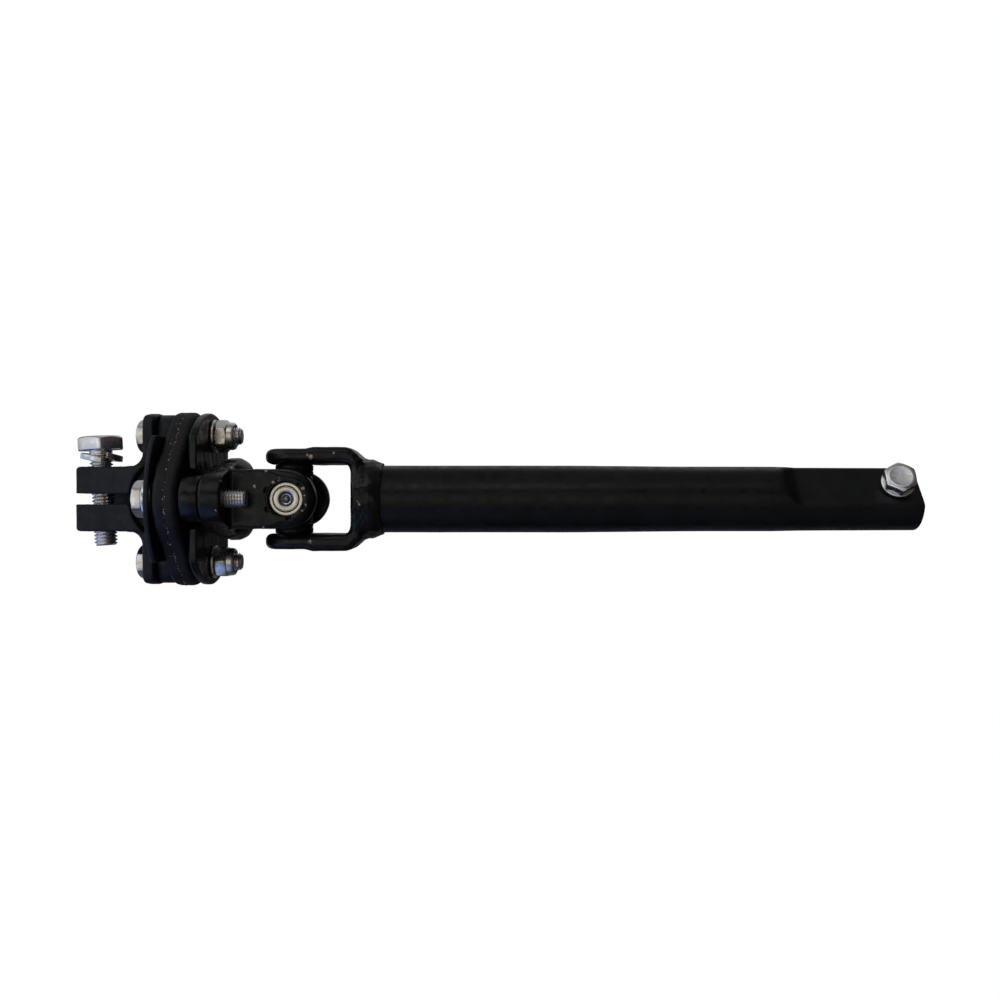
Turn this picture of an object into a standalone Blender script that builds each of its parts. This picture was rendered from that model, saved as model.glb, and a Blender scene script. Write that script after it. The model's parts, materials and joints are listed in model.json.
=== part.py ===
"""Universal joint steering shaft: split clamp hub, rubber coupling, cross joint and shaft tube.

Sizes are in millimetres, measured from the centre of the cross, and add_piece scales each mesh to
metres. +X runs along the shaft from the cross towards the tube end, and +Z is up. The origin is the
middle of the shaft's length, on its axis, so the cross stands at CROSS_X. The five bodies hang on a
chain of empties, one at each joint's centre, so turning an empty poses the shaft.
"""

import math

import bmesh
import bpy
from mathutils import Matrix, Vector

MM = 0.001
CROSS_X = -92.75
GAP = 0.3
OVERSHOOT = 2.0
X_AXIS = Vector((1, 0, 0))
Y_AXIS = Vector((0, 1, 0))
Z_AXIS = Vector((0, 0, 1))

# Clamp hub: a block split by a saw cut, and a flange with an ear above and below.
HUB_LEFT = -90.1
HUB_FRONT = -22.0
HUB_HALF_HEIGHT = 14.3
EAR_LEFT = -64.4
EAR_RIGHT = -59.4
EAR_HALF_WIDTH = 13.3
EAR_REACH = 38.2
EAR_CROWN = 41.0
EAR_CORNER = 5.0
EAR_FILLET = 6.0
BORE_RADIUS = 8.8
SLIT_WIDTH = 4.7
SAW_RADIUS = 50.0
SAW_CENTRE = (-116.0, -22.7)
HEAD_RECESS_RADIUS = 18.4
HEAD_RECESS_X = -49.0
HEAD_RECESS_Y = -17.0

# Pinch bolt, hanging at a slight lean in its loose hole.
PINCH_X = -81.2
PINCH_Y = -13.0
PINCH_LEAN = math.radians(3.4)
PINCH_TURN = math.radians(20.0)
PINCH_RADIUS = 4.9
PINCH_HOLE_RADIUS = 6.1
PINCH_FLATS = 18.5
PINCH_HEAD_LOW = 21.5
PINCH_HEAD_HEIGHT = 5.8
PINCH_END = -20.3
SPRING_INNER = 5.7
SPRING_OUTER = 8.8
SPRING_THICKNESS = 2.5
SPRING_MIDDLE = 18.2
SPRING_RISE = 1.2
SPRING_TILT = math.radians(6.0)
SPRING_TURN = math.radians(344)
SPRING_SPLIT = math.radians(-63)
SPRING_SHIFT = 0.25

# Rubber coupling: a four-lobed disc, bolted to the hub above and below, to the yoke front and back.
BOLT_CIRCLE = 28.2
DISC_LEFT = -52.6
DISC_RIGHT = -42.2
DISC_CENTRE = (DISC_LEFT + DISC_RIGHT) / 2
DISC_RADIUS = 35.9
DISC_LOBE = 2.9
DISC_ROUND = 2.4
DISC_BORE = 8.0
BUSH_RADIUS = 6.2
BUSH_PLAY = 0.45
SPACER_PLAY = 0.6
PLATE_PLAY = 1.3
PLATE_THICKNESS = 2.2
PLATE_RADIUS = 38.0
PLATE_HALF_HEIGHT = 27.6
PLATE_NOTCH = 10.3
BAR_PLAY = 2.1
BAR_THICKNESS = 3.5
BAR_RADIUS = 38.5
BAR_HALF_WIDTH = 28.0
BAR_NOTCH = 12.5

# Chamfered hexagons: sizes as shares of the distance across flats.
HEAD_FACE_SHARE = 0.475
HEAD_CORNER_SHARE = 0.535
HEAD_CHAMFER = 0.5
HEAD_SHOULDER = 1.1
TIP_CHAMFER = 1.0
TIP_CUT = 0.9

# M8 fasteners.
M8_RADIUS = 4.0
M8_HOLE = 4.4
HUB_HEAD = 4.8
YOKE_HEAD = 4.3
HUB_FLATS = 13.0
YOKE_FLATS = 14.0
WASHER_THICKNESS = 1.4
HUB_WASHER_RADIUS = 7.4
YOKE_WASHER_RADIUS = 8.0
HUB_SPACER_RADIUS = 9.5
YOKE_SPACER_RADIUS = 10.0
HUB_BOLT_END = -23.5
YOKE_BOLT_END = -15.1
NUT_HEX = 5.3
NUT_COLLAR = 3.0
NUT_COLLAR_RADIUS = 6.3
NUT_CHAMFER = 0.8
NUT_RIM = 0.4
INSERT_DEPTH = 0.5
NUT_TURNS = {"top": math.radians(4), "bottom": math.radians(27)}
INSERT_INNER = 4.3
INSERT_OUTER = 5.2

# Flange yoke: an oval flange, a domed hub and two arms, front and back.
FLANGE_LEFT = -33.2
FLANGE_RIGHT = -23.6
FLANGE_HUB_RADIUS = 18.0
FLANGE_DOME_LEFT = -24.5
FLANGE_DOME_RIGHT = -19.5
BOSS_RADIUS = 11.5
ARM_INNER = 15.5
YOKE_ARM_OUTER = 23.4
YOKE_ARM_HALF = 12.9

# Cross with four trunnions, each in a needle ring, a cup and a seal.
TRUNNION_RADIUS = 4.3
TRUNNION_REACH = 18.1
CROSS_RADIUS = 8.0
CROSS_REACH = 10.2
CUP_RADIUS = 7.5
CUP_INNER = 6.2
CUP_MOUTH = 11.8
CUP_FACE = 20.0
CUP_FLOOR = 18.4
CUP_CHAMFER = 0.5
CUP_BORE = 7.8
NEEDLE_INNER = 4.6
NEEDLE_OUTER = 5.9
NEEDLE_MOUTH = 12.2
NEEDLE_END = 18.0
SEAL_RADIUS = 8.45
SEAL_SLEEVE = 7.8
SEAL_INNER = 4.6
SEAL_LOW = 10.6
SEAL_LIP = 11.5
SEAL_HIGH = 15.2

# Tube yoke: two arms above and below, a round base and a neck that the tube is welded into.
TUBE_ARM_HALF = 12.6
TUBE_ARM_OUTER = 22.3
TUBE_ARM_SWELL = 23.0
SWELL_START = 8.0
SWELL_END = 11.0
WINDOW_RIGHT = 27.0
WINDOW_FILLET = 4.0
BEND_CENTRE = (23.5, 16.5)
BEND_RADIUS = 6.5
BEND_END = 31.8
BASE_LEFT = 27.6
BASE_RADIUS = 18.0
BASE_CHAMFER = 1.2
NECK_RIGHT = 36.2
WELD_RIGHT = 40.2
WELD_RADIUS = 15.8
SOCKET_LEFT = 31.0
SOCKET_RADIUS = 15.3

# Shaft tube, drawn down a little towards its end, where one side is pressed flat.
TUBE_LEFT = 31.3
TUBE_END = 278.8
TUBE_WALL = 3.6
TUBE_RADII = ((TUBE_LEFT, 15.0), (126.0, 15.0), (173.0, 14.55), (214.0, 14.5), (220.0, 14.3),
              (226.0, 14.25), (278.2, 14.05))
TUBE_END_RADIUS = 13.7
FLAT_START = 214.0
FLAT_FULL = 226.0
FLAT_DISTANCE = 8.7
FLAT_RISE = math.radians(42)
FLAT_NORMAL = Vector((0, -math.cos(FLAT_RISE), math.sin(FLAT_RISE)))
TUBE_HOLE_RADIUS = 5.4

# Tube bolt, standing proud of the flat and leaning in its loose hole. Lengths are from the flat.
TUBE_BOLT_X = 268.6
TUBE_BOLT_RISE = math.radians(29)
TUBE_BOLT_YAW = math.radians(4.5)
TUBE_BOLT_LEVEL = Vector((0, -math.cos(TUBE_BOLT_RISE), math.sin(TUBE_BOLT_RISE)))
TUBE_BOLT_AXIS = TUBE_BOLT_LEVEL * math.cos(TUBE_BOLT_YAW) - X_AXIS * math.sin(TUBE_BOLT_YAW)
TUBE_BOLT_SIDE = TUBE_BOLT_LEVEL * math.sin(TUBE_BOLT_YAW) + X_AXIS * math.cos(TUBE_BOLT_YAW)
TUBE_BOLT_UNDER = 3.9
TUBE_BOLT_HEAD = 5.0
TUBE_BOLT_DEPTH = 5.1
TUBE_WASHER_RADIUS = 7.4

BOLT_STEPS = 12
RING_STEPS = 16
ROUND_STEPS = 32
DISC_STEPS = 40
SHARP_ANGLE = math.radians(32)


def clear_scene():
    for item in list(bpy.data.objects):
        bpy.data.objects.remove(item, do_unlink=True)


def make_material(name, colour, roughness, metallic):
    material = bpy.data.materials.new(name)
    material.use_nodes = True
    shader = material.node_tree.nodes["Principled BSDF"]
    shader.inputs["Base Color"].default_value = (*colour, 1.0)
    shader.inputs["Roughness"].default_value = roughness
    shader.inputs["Metallic"].default_value = metallic
    return material


def add_empty(name, centre, parent=None):
    """Empty at a joint's centre, given in millimetres from the cross."""
    empty = bpy.data.objects.new(name, None)
    bpy.context.collection.objects.link(empty)
    place = Vector(centre) * MM
    empty["centre_mm"] = list(centre)
    if parent:
        empty.parent = parent
        place = place - Vector(parent["centre_mm"]) * MM
    empty.location = place
    return empty


def add_piece(name, bm, material, pivot):
    """Object made from bm, whose origin is the pivot empty."""
    centre = Vector(pivot["centre_mm"])
    bmesh.ops.translate(bm, verts=bm.verts, vec=-centre)
    bmesh.ops.scale(bm, verts=bm.verts, vec=(MM, MM, MM))
    mesh = bpy.data.meshes.new(name)
    bm.to_mesh(mesh)
    bm.free()
    mesh.materials.append(material)
    mesh.shade_smooth()
    mesh.set_sharp_from_angle(angle=SHARP_ANGLE)
    piece = bpy.data.objects.new(name, mesh)
    bpy.context.collection.objects.link(piece)
    piece.parent = pivot
    return piece


def combine(piece, tool, operation="DIFFERENCE"):
    """Cut piece by tool, or join or intersect them. The tool stays in the scene as a hidden guide."""
    modifier = piece.modifiers.new(tool.name, "BOOLEAN")
    modifier.operation = operation
    modifier.solver = "EXACT"
    modifier.object = tool
    tool.hide_render = True
    tool.display_type = "WIRE"


def skin(rings, loop=False):
    """Closed mesh through rings of equal length, with end caps, or joined last to first."""
    bm = bmesh.new()
    rows = [[bm.verts.new(point) for point in ring] for ring in rings]
    pairs = list(zip(rows, rows[1:]))
    if loop:
        pairs.append((rows[-1], rows[0]))
    count = len(rows[0])
    for low, high in pairs:
        for i in range(count):
            j = (i + 1) % count
            bm.faces.new((low[i], low[j], high[j], high[i]))
    if not loop:
        bm.faces.new(list(reversed(rows[0])))
        bm.faces.new(rows[-1])
    bmesh.ops.recalc_face_normals(bm, faces=bm.faces)
    return bm


def circle(radius):
    return lambda angle: radius


def hexagon(flats, limit=math.inf):
    """Radius of a hexagon by angle, a flat at angle 0, cut back to limit where that is smaller."""
    def radius(angle):
        off = (angle + math.pi / 6) % (math.pi / 3) - math.pi / 6
        return min(flats / 2 / math.cos(off), limit)
    return radius


def turned(stations, steps, centre=(0, 0, 0), axis=X_AXIS, side=Y_AXIS, loop=False):
    """Mesh through (distance along the axis, radius by angle) stations."""
    across = axis.cross(side)
    rings = []
    for distance, radius in stations:
        points = []
        for i in range(steps):
            angle = math.tau * i / steps
            out = side * math.cos(angle) + across * math.sin(angle)
            points.append(Vector(centre) + axis * distance + out * radius(angle))
        rings.append(points)
    return skin(rings, loop)


def rod(low, high, radius, steps=RING_STEPS, **placing):
    return turned([(low, circle(radius)), (high, circle(radius))], steps, **placing)


def ring(low, high, inner, outer, steps=RING_STEPS, **placing):
    stations = [(low, circle(inner)), (low, circle(outer)), (high, circle(outer)), (high, circle(inner))]
    return turned(stations, steps, loop=True, **placing)


def arc(centre, radius, start, end, steps):
    """Points on an arc from start to end, in degrees."""
    points = []
    for i in range(steps + 1):
        angle = math.radians(start + (end - start) * i / steps)
        points.append((centre[0] + radius * math.cos(angle), centre[1] + radius * math.sin(angle)))
    return points


def prism(outline, low, high, axis):
    """Outline extruded along an axis: it holds (Y, Z) for X, (X, Z) for Y and (X, Y) for Z."""
    places = {
        "X": lambda depth, a, b: (depth, a, b),
        "Y": lambda depth, a, b: (a, depth, b),
        "Z": lambda depth, a, b: (a, b, depth),
    }
    place = places[axis]
    return skin([[Vector(place(depth, a, b)) for a, b in outline] for depth in (low, high)])


def bolt_stations(under_head, head_height, flats, tip, radius):
    """Hexagon head and plain shank along +X, the head's outer face first."""
    outer = under_head - head_height
    return [
        (outer, circle(flats * HEAD_FACE_SHARE)),
        (outer + HEAD_CHAMFER, hexagon(flats, flats * HEAD_CORNER_SHARE)),
        (outer + HEAD_SHOULDER, hexagon(flats)),
        (under_head, hexagon(flats)),
        (under_head, circle(radius)),
        (tip - TIP_CHAMFER, circle(radius)),
        (tip, circle(radius - TIP_CUT)),
    ]


def on_bolt_circle(side):
    """Centre of a coupling bolt: top and bottom carry the hub, front and back the yoke."""
    places = {
        "top": (0, 0, BOLT_CIRCLE),
        "bottom": (0, 0, -BOLT_CIRCLE),
        "front": (0, -BOLT_CIRCLE, 0),
        "back": (0, BOLT_CIRCLE, 0),
    }
    return places[side]


def clamp_hub(material, pivot):
    """Side outline and end outline, each extruded and intersected, then bored, slit in front and drilled."""
    half = HUB_HALF_HEIGHT
    fillet_x = EAR_LEFT - EAR_FILLET
    upper = [(HUB_LEFT, half)]
    upper += arc((fillet_x, half + EAR_FILLET), EAR_FILLET, -90, 0, 5)
    upper += [(EAR_LEFT, EAR_REACH + 1), (EAR_RIGHT, EAR_REACH + 1)]
    side_outline = upper + [(x, -z) for x, z in reversed(upper)]
    hub = add_piece("clamp_hub", prism(side_outline, HUB_FRONT - 1, half + 1, "Y"), material, pivot)

    corner_y = EAR_HALF_WIDTH - EAR_CORNER
    lean = math.asin(corner_y / (EAR_CROWN - EAR_CORNER))
    corner_z = EAR_REACH - EAR_CROWN + (EAR_CROWN - EAR_CORNER) * math.cos(lean)
    crown = math.degrees(lean)
    join = math.degrees(math.acos(EAR_HALF_WIDTH / half))
    end = [(HUB_FRONT, 0), (HUB_FRONT, half), (-EAR_HALF_WIDTH, half)]
    end += arc((-corner_y, corner_z), EAR_CORNER, 180, 90 + crown, 5)
    end += arc((0, EAR_REACH - EAR_CROWN), EAR_CROWN, 90 + crown, 90 - crown, 6)[1:-1]
    end += arc((corner_y, corner_z), EAR_CORNER, 90 - crown, 0, 5)
    end += arc((0, 0), half, join, 0, 3)
    end_outline = end + [(y, -z) for y, z in reversed(end[1:-1])]
    envelope = add_piece("hub_end_outline", prism(end_outline, HUB_LEFT - 1, EAR_RIGHT + 1, "X"),
                         material, pivot)
    combine(hub, envelope, "INTERSECT")

    bore = rod(HUB_LEFT - OVERSHOOT, EAR_RIGHT + OVERSHOOT, BORE_RADIUS, ROUND_STEPS)
    combine(hub, add_piece("hub_bore_cutter", bore, material, pivot))
    at_axis = math.degrees(math.asin(-SAW_CENTRE[1] / SAW_RADIUS))
    saw = [(HUB_LEFT - OVERSHOOT, 0), (HUB_LEFT - OVERSHOOT, HUB_FRONT - OVERSHOOT)]
    saw += [(SAW_CENTRE[0] + SAW_RADIUS, HUB_FRONT - OVERSHOOT)]
    saw += arc(SAW_CENTRE, SAW_RADIUS, 0, at_axis, 12)
    saw_bm = prism(saw, -SLIT_WIDTH / 2, SLIT_WIDTH / 2, "Z")
    combine(hub, add_piece("saw_cutter", saw_bm, material, pivot))
    pinch = rod(-half - OVERSHOOT, half + OVERSHOOT, PINCH_HOLE_RADIUS,
                centre=(PINCH_X, PINCH_Y, 0), axis=Z_AXIS, side=X_AXIS)
    combine(hub, add_piece("pinch_hole_cutter", pinch, material, pivot))
    recess = rod(HUB_FRONT - OVERSHOOT, HEAD_RECESS_Y, HEAD_RECESS_RADIUS, 48,
                 centre=(HEAD_RECESS_X, 0, 0), axis=Y_AXIS, side=Z_AXIS)
    combine(hub, add_piece("head_recess_cutter", recess, material, pivot))
    for where in ("top", "bottom"):
        hole = rod(EAR_LEFT - OVERSHOOT, EAR_RIGHT + OVERSHOOT, M8_HOLE, centre=on_bolt_circle(where))
        combine(hub, add_piece(f"ear_hole_cutter_{where}", hole, material, pivot))


def pinch_bolt(material, pivot):
    axis = Vector((-math.sin(PINCH_LEAN), 0, math.cos(PINCH_LEAN)))
    turn = Matrix.Rotation(PINCH_TURN, 3, axis)
    side = turn @ Vector((math.cos(PINCH_LEAN), 0, math.sin(PINCH_LEAN)))
    stations = bolt_stations(-PINCH_HEAD_LOW, PINCH_HEAD_HEIGHT, PINCH_FLATS, -PINCH_END, PINCH_RADIUS)
    bm = turned(stations, 24, centre=(PINCH_X, PINCH_Y, 0), axis=-axis, side=side)
    add_piece("pinch_bolt", bm, material, pivot)


def pinch_spring_washer(material, pivot):
    """Split ring open near the front, one end bent up and the other down, lying at a tilt."""
    steps = 24
    start = SPRING_SPLIT + (math.tau - SPRING_TURN) / 2
    tilt = Matrix.Rotation(SPRING_TILT, 3, "Y")
    lean = -math.tan(PINCH_LEAN) * SPRING_MIDDLE
    centre = Vector((PINCH_X + lean + SPRING_SHIFT, PINCH_Y, SPRING_MIDDLE))
    half = SPRING_THICKNESS / 2
    section = ((SPRING_INNER, -half), (SPRING_OUTER, -half), (SPRING_OUTER, half), (SPRING_INNER, half))
    rings = []
    for i in range(steps + 1):
        share = i / steps
        angle = start + SPRING_TURN * share
        bend = SPRING_RISE * (1 - 2 * share) ** 3
        points = []
        for radius, height in section:
            point = Vector((radius * math.cos(angle), radius * math.sin(angle), bend + height))
            points.append(centre + tilt @ point)
        rings.append(points)
    add_piece("pinch_spring_washer", skin(rings), material, pivot)


def hub_fasteners(zinc, black, nylon, pivot):
    """Bolt, spacer, bush, washer, nut and nylon insert, above and below the shaft."""
    spacer_left = EAR_RIGHT + GAP
    spacer_right = DISC_LEFT - SPACER_PLAY
    bar_left = DISC_RIGHT + BAR_PLAY
    washer_left = bar_left + BAR_THICKNESS + GAP
    nut_left = washer_left + WASHER_THICKNESS + GAP
    hex_right = nut_left + NUT_HEX
    nut_right = hex_right + NUT_COLLAR
    seat = hex_right + NUT_RIM
    for where in ("top", "bottom"):
        centre = on_bolt_circle(where)
        stations = bolt_stations(EAR_LEFT - GAP, HUB_HEAD, HUB_FLATS, HUB_BOLT_END, M8_RADIUS)
        add_piece(f"hub_bolt_{where}", turned(stations, BOLT_STEPS, centre), zinc, pivot)
        spacer = ring(spacer_left, spacer_right, M8_HOLE, HUB_SPACER_RADIUS, centre=centre)
        add_piece(f"hub_spacer_{where}", spacer, black, pivot)
        bush = ring(spacer_right + GAP, bar_left - GAP, M8_HOLE, BUSH_RADIUS, centre=centre)
        add_piece(f"hub_bush_{where}", bush, zinc, pivot)
        washer = ring(washer_left, washer_left + WASHER_THICKNESS, M8_HOLE, HUB_WASHER_RADIUS,
                      centre=centre)
        add_piece(f"hub_washer_{where}", washer, zinc, pivot)
        nut = [
            (nut_left, circle(M8_HOLE)),
            (nut_left, circle(HUB_FLATS * HEAD_FACE_SHARE)),
            (nut_left + NUT_CHAMFER, hexagon(HUB_FLATS)),
            (hex_right - NUT_CHAMFER, hexagon(HUB_FLATS)),
            (hex_right, circle(NUT_COLLAR_RADIUS)),
            (nut_right - NUT_CHAMFER, circle(NUT_COLLAR_RADIUS)),
            (nut_right, circle(NUT_COLLAR_RADIUS - NUT_RIM)),
            (nut_right, circle(INSERT_OUTER + GAP)),
            (seat, circle(INSERT_OUTER + GAP)),
            (seat, circle(M8_HOLE)),
        ]
        side = Matrix.Rotation(NUT_TURNS[where], 3, "X") @ Y_AXIS
        nut_bm = turned(nut, BOLT_STEPS, centre, side=side, loop=True)
        add_piece(f"hub_nut_{where}", nut_bm, zinc, pivot)
        insert = ring(seat + GAP, nut_right - INSERT_DEPTH, INSERT_INNER, INSERT_OUTER, BOLT_STEPS,
                      centre=centre)
        add_piece(f"nut_insert_{where}", insert, nylon, pivot)


def rear_stop_bar(material, pivot):
    """Bar behind the disc: ends on a circle, sides notched round the yoke's spacers."""
    corner = math.degrees(math.acos(BAR_HALF_WIDTH / BAR_RADIUS))
    reach = math.degrees(math.acos((BOLT_CIRCLE - BAR_HALF_WIDTH) / BAR_NOTCH))
    right = arc((BOLT_CIRCLE, 0), BAR_NOTCH, 180 + reach, 180 - reach, 8)
    top = arc((0, 0), BAR_RADIUS, corner, 180 - corner, 8)
    left = [(-y, -z) for y, z in right]
    bottom = [(-y, -z) for y, z in top]
    left_x = DISC_RIGHT + BAR_PLAY
    right_x = left_x + BAR_THICKNESS
    bar = add_piece("rear_stop_bar", prism(right + top + left + bottom, left_x, right_x, "X"),
                    material, pivot)
    for where in ("top", "bottom"):
        hole = rod(left_x - OVERSHOOT, right_x + OVERSHOOT, M8_HOLE, centre=on_bolt_circle(where))
        combine(bar, add_piece(f"bar_hole_cutter_{where}", hole, material, pivot))


def coupling_disc(material, pivot):
    """Four-lobed rubber disc with rounded edges, a centre hole and a loose hole for each bush."""
    def lobed(inset):
        return lambda angle: DISC_RADIUS + DISC_LOBE * math.cos(4 * angle) - inset
    rim = []
    for i in range(4):
        slope = math.radians(90 * i / 3)
        rim.append((DISC_ROUND * (1 - math.cos(slope)), DISC_ROUND * (1 - math.sin(slope))))
    stations = [(DISC_LEFT + depth, lobed(inset)) for depth, inset in rim]
    stations += [(DISC_RIGHT - depth, lobed(inset)) for depth, inset in reversed(rim)]
    disc = add_piece("coupling_disc", turned(stations, DISC_STEPS), material, pivot)
    centre_hole = rod(DISC_LEFT - OVERSHOOT, DISC_RIGHT + OVERSHOOT, DISC_BORE)
    combine(disc, add_piece("disc_bore_cutter", centre_hole, material, pivot))
    for where in ("top", "bottom", "front", "back"):
        hole = rod(DISC_LEFT - OVERSHOOT, DISC_RIGHT + OVERSHOOT, BUSH_RADIUS + BUSH_PLAY,
                   centre=on_bolt_circle(where))
        combine(disc, add_piece(f"disc_hole_cutter_{where}", hole, material, pivot))


def front_stop_plate(material, pivot):
    """Thin plate in front of the disc, cut straight above and below and notched round the spacers."""
    right_x = DISC_LEFT - PLATE_PLAY
    left_x = right_x - PLATE_THICKNESS
    corner = math.degrees(math.asin(PLATE_HALF_HEIGHT / PLATE_RADIUS))
    rise = BOLT_CIRCLE - PLATE_HALF_HEIGHT
    reach = math.degrees(math.asin(rise / PLATE_NOTCH))
    right = arc((0, 0), PLATE_RADIUS, -corner, corner, 14)
    top = arc((0, BOLT_CIRCLE), PLATE_NOTCH, -reach, -180 + reach, 8)
    left = [(-y, -z) for y, z in right]
    bottom = [(-y, -z) for y, z in top]
    plate = add_piece("front_stop_plate", prism(right + top + left + bottom, left_x, right_x, "X"),
                      material, pivot)
    centre_hole = rod(left_x - OVERSHOOT, right_x + OVERSHOOT, DISC_BORE)
    combine(plate, add_piece("plate_bore_cutter", centre_hole, material, pivot))
    for where in ("front", "back"):
        hole = rod(left_x - OVERSHOOT, right_x + OVERSHOOT, M8_HOLE, centre=on_bolt_circle(where))
        combine(plate, add_piece(f"plate_hole_cutter_{where}", hole, material, pivot))


def yoke_fasteners(zinc, black, pivot):
    """Bolt, washer, bush and spacer, in front of the shaft and behind it."""
    plate_right = DISC_LEFT - PLATE_PLAY
    washer_right = plate_right - PLATE_THICKNESS - GAP
    under_head = washer_right - WASHER_THICKNESS - GAP
    spacer_left = DISC_RIGHT + SPACER_PLAY
    spacer_right = FLANGE_LEFT - GAP
    for where in ("front", "back"):
        centre = on_bolt_circle(where)
        stations = bolt_stations(under_head, YOKE_HEAD, YOKE_FLATS, YOKE_BOLT_END, M8_RADIUS)
        add_piece(f"yoke_bolt_{where}", turned(stations, BOLT_STEPS, centre), zinc, pivot)
        washer = ring(washer_right - WASHER_THICKNESS, washer_right, M8_HOLE, YOKE_WASHER_RADIUS,
                      centre=centre)
        add_piece(f"yoke_washer_{where}", washer, zinc, pivot)
        bush = ring(plate_right + GAP, spacer_left - GAP, M8_HOLE, BUSH_RADIUS, centre=centre)
        add_piece(f"yoke_bush_{where}", bush, zinc, pivot)
        spacer = ring(spacer_left, spacer_right, M8_HOLE, YOKE_SPACER_RADIUS, centre=centre)
        add_piece(f"yoke_spacer_{where}", spacer, black, pivot)


def oval_outline():
    """Hub circle and the two boss circles, joined by the lines that touch both."""
    touch = math.degrees(math.acos((FLANGE_HUB_RADIUS - BOSS_RADIUS) / BOLT_CIRCLE))
    outline = arc((0, 0), FLANGE_HUB_RADIUS, touch, 180 - touch, 5)
    outline += arc((-BOLT_CIRCLE, 0), BOSS_RADIUS, 180 - touch, 180 + touch, 12)
    outline += arc((0, 0), FLANGE_HUB_RADIUS, 180 + touch, 360 - touch, 5)
    outline += arc((BOLT_CIRCLE, 0), BOSS_RADIUS, -touch, touch, 12)
    return outline


def flange_yoke(material, pivot):
    yoke = add_piece("flange_yoke", prism(oval_outline(), FLANGE_LEFT, FLANGE_RIGHT, "X"),
                     material, pivot)
    dome_depth = FLANGE_DOME_RIGHT - FLANGE_DOME_LEFT
    dome = [((FLANGE_LEFT + FLANGE_RIGHT) / 2, circle(FLANGE_HUB_RADIUS))]
    for i in range(5):
        slope = math.radians(90 * i / 4)
        dome.append((FLANGE_DOME_LEFT + dome_depth * math.sin(slope),
                     circle(FLANGE_HUB_RADIUS - dome_depth * (1 - math.cos(slope)))))
    combine(yoke, add_piece("yoke_hub_guide", turned(dome, ROUND_STEPS), material, pivot), "UNION")
    arm_left = (FLANGE_LEFT + FLANGE_RIGHT) / 2
    arm_outline = [(arm_left, YOKE_ARM_HALF), (arm_left, -YOKE_ARM_HALF)]
    arm_outline += arc((0, 0), YOKE_ARM_HALF, -90, 90, 12)
    for where, facing in (("front", -1), ("back", 1)):
        low, high = sorted((facing * ARM_INNER, facing * YOKE_ARM_OUTER))
        arm = add_piece(f"yoke_arm_guide_{where}", prism(arm_outline, low, high, "Y"), material, pivot)
        combine(yoke, arm, "UNION")
        hole = rod(FLANGE_LEFT - OVERSHOOT, FLANGE_RIGHT + OVERSHOOT, M8_HOLE, centre=on_bolt_circle(where))
        combine(yoke, add_piece(f"yoke_hole_cutter_{where}", hole, material, pivot))
    reach = YOKE_ARM_OUTER + OVERSHOOT
    bore = rod(-reach, reach, CUP_BORE, 24, axis=Y_AXIS, side=Z_AXIS)
    combine(yoke, add_piece("yoke_cup_cutter", bore, material, pivot))


def cross(material, pivot):
    """Two crossed stepped pins, front to back and top to bottom."""
    stations = [
        (-TRUNNION_REACH, circle(TRUNNION_RADIUS)),
        (-CROSS_REACH, circle(TRUNNION_RADIUS)),
        (-CROSS_REACH, circle(CROSS_RADIUS)),
        (CROSS_REACH, circle(CROSS_RADIUS)),
        (CROSS_REACH, circle(TRUNNION_RADIUS)),
        (TRUNNION_REACH, circle(TRUNNION_RADIUS)),
    ]
    body = add_piece("cross", turned(stations, RING_STEPS, axis=Y_AXIS, side=Z_AXIS), material, pivot)
    other = turned(stations, RING_STEPS, axis=Z_AXIS, side=X_AXIS)
    combine(body, add_piece("cross_pin_guide", other, material, pivot), "UNION")


def bearing(where, axis, side, steel, rubber, pivot):
    """Cup, needle ring and seal on one trunnion."""
    placing = {"axis": axis, "side": side}
    cup = [
        (CUP_FLOOR, circle(CUP_INNER)),
        (CUP_MOUTH, circle(CUP_INNER)),
        (CUP_MOUTH, circle(CUP_RADIUS)),
        (CUP_FACE - CUP_CHAMFER, circle(CUP_RADIUS)),
        (CUP_FACE, circle(CUP_RADIUS - CUP_CHAMFER)),
    ]
    add_piece(f"bearing_cup_{where}", turned(cup, RING_STEPS, **placing), steel, pivot)
    needles = ring(NEEDLE_MOUTH, NEEDLE_END, NEEDLE_INNER, NEEDLE_OUTER, **placing)
    add_piece(f"needle_ring_{where}", needles, steel, pivot)
    seal = [
        (SEAL_LOW, circle(SEAL_INNER)),
        (SEAL_LOW, circle(SEAL_RADIUS)),
        (SEAL_HIGH, circle(SEAL_RADIUS)),
        (SEAL_HIGH, circle(SEAL_SLEEVE)),
        (SEAL_LIP, circle(SEAL_SLEEVE)),
        (SEAL_LIP, circle(SEAL_INNER)),
    ]
    bm = turned(seal, RING_STEPS, loop=True, **placing)
    add_piece(f"cup_seal_{where}", bm, rubber, pivot)


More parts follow.
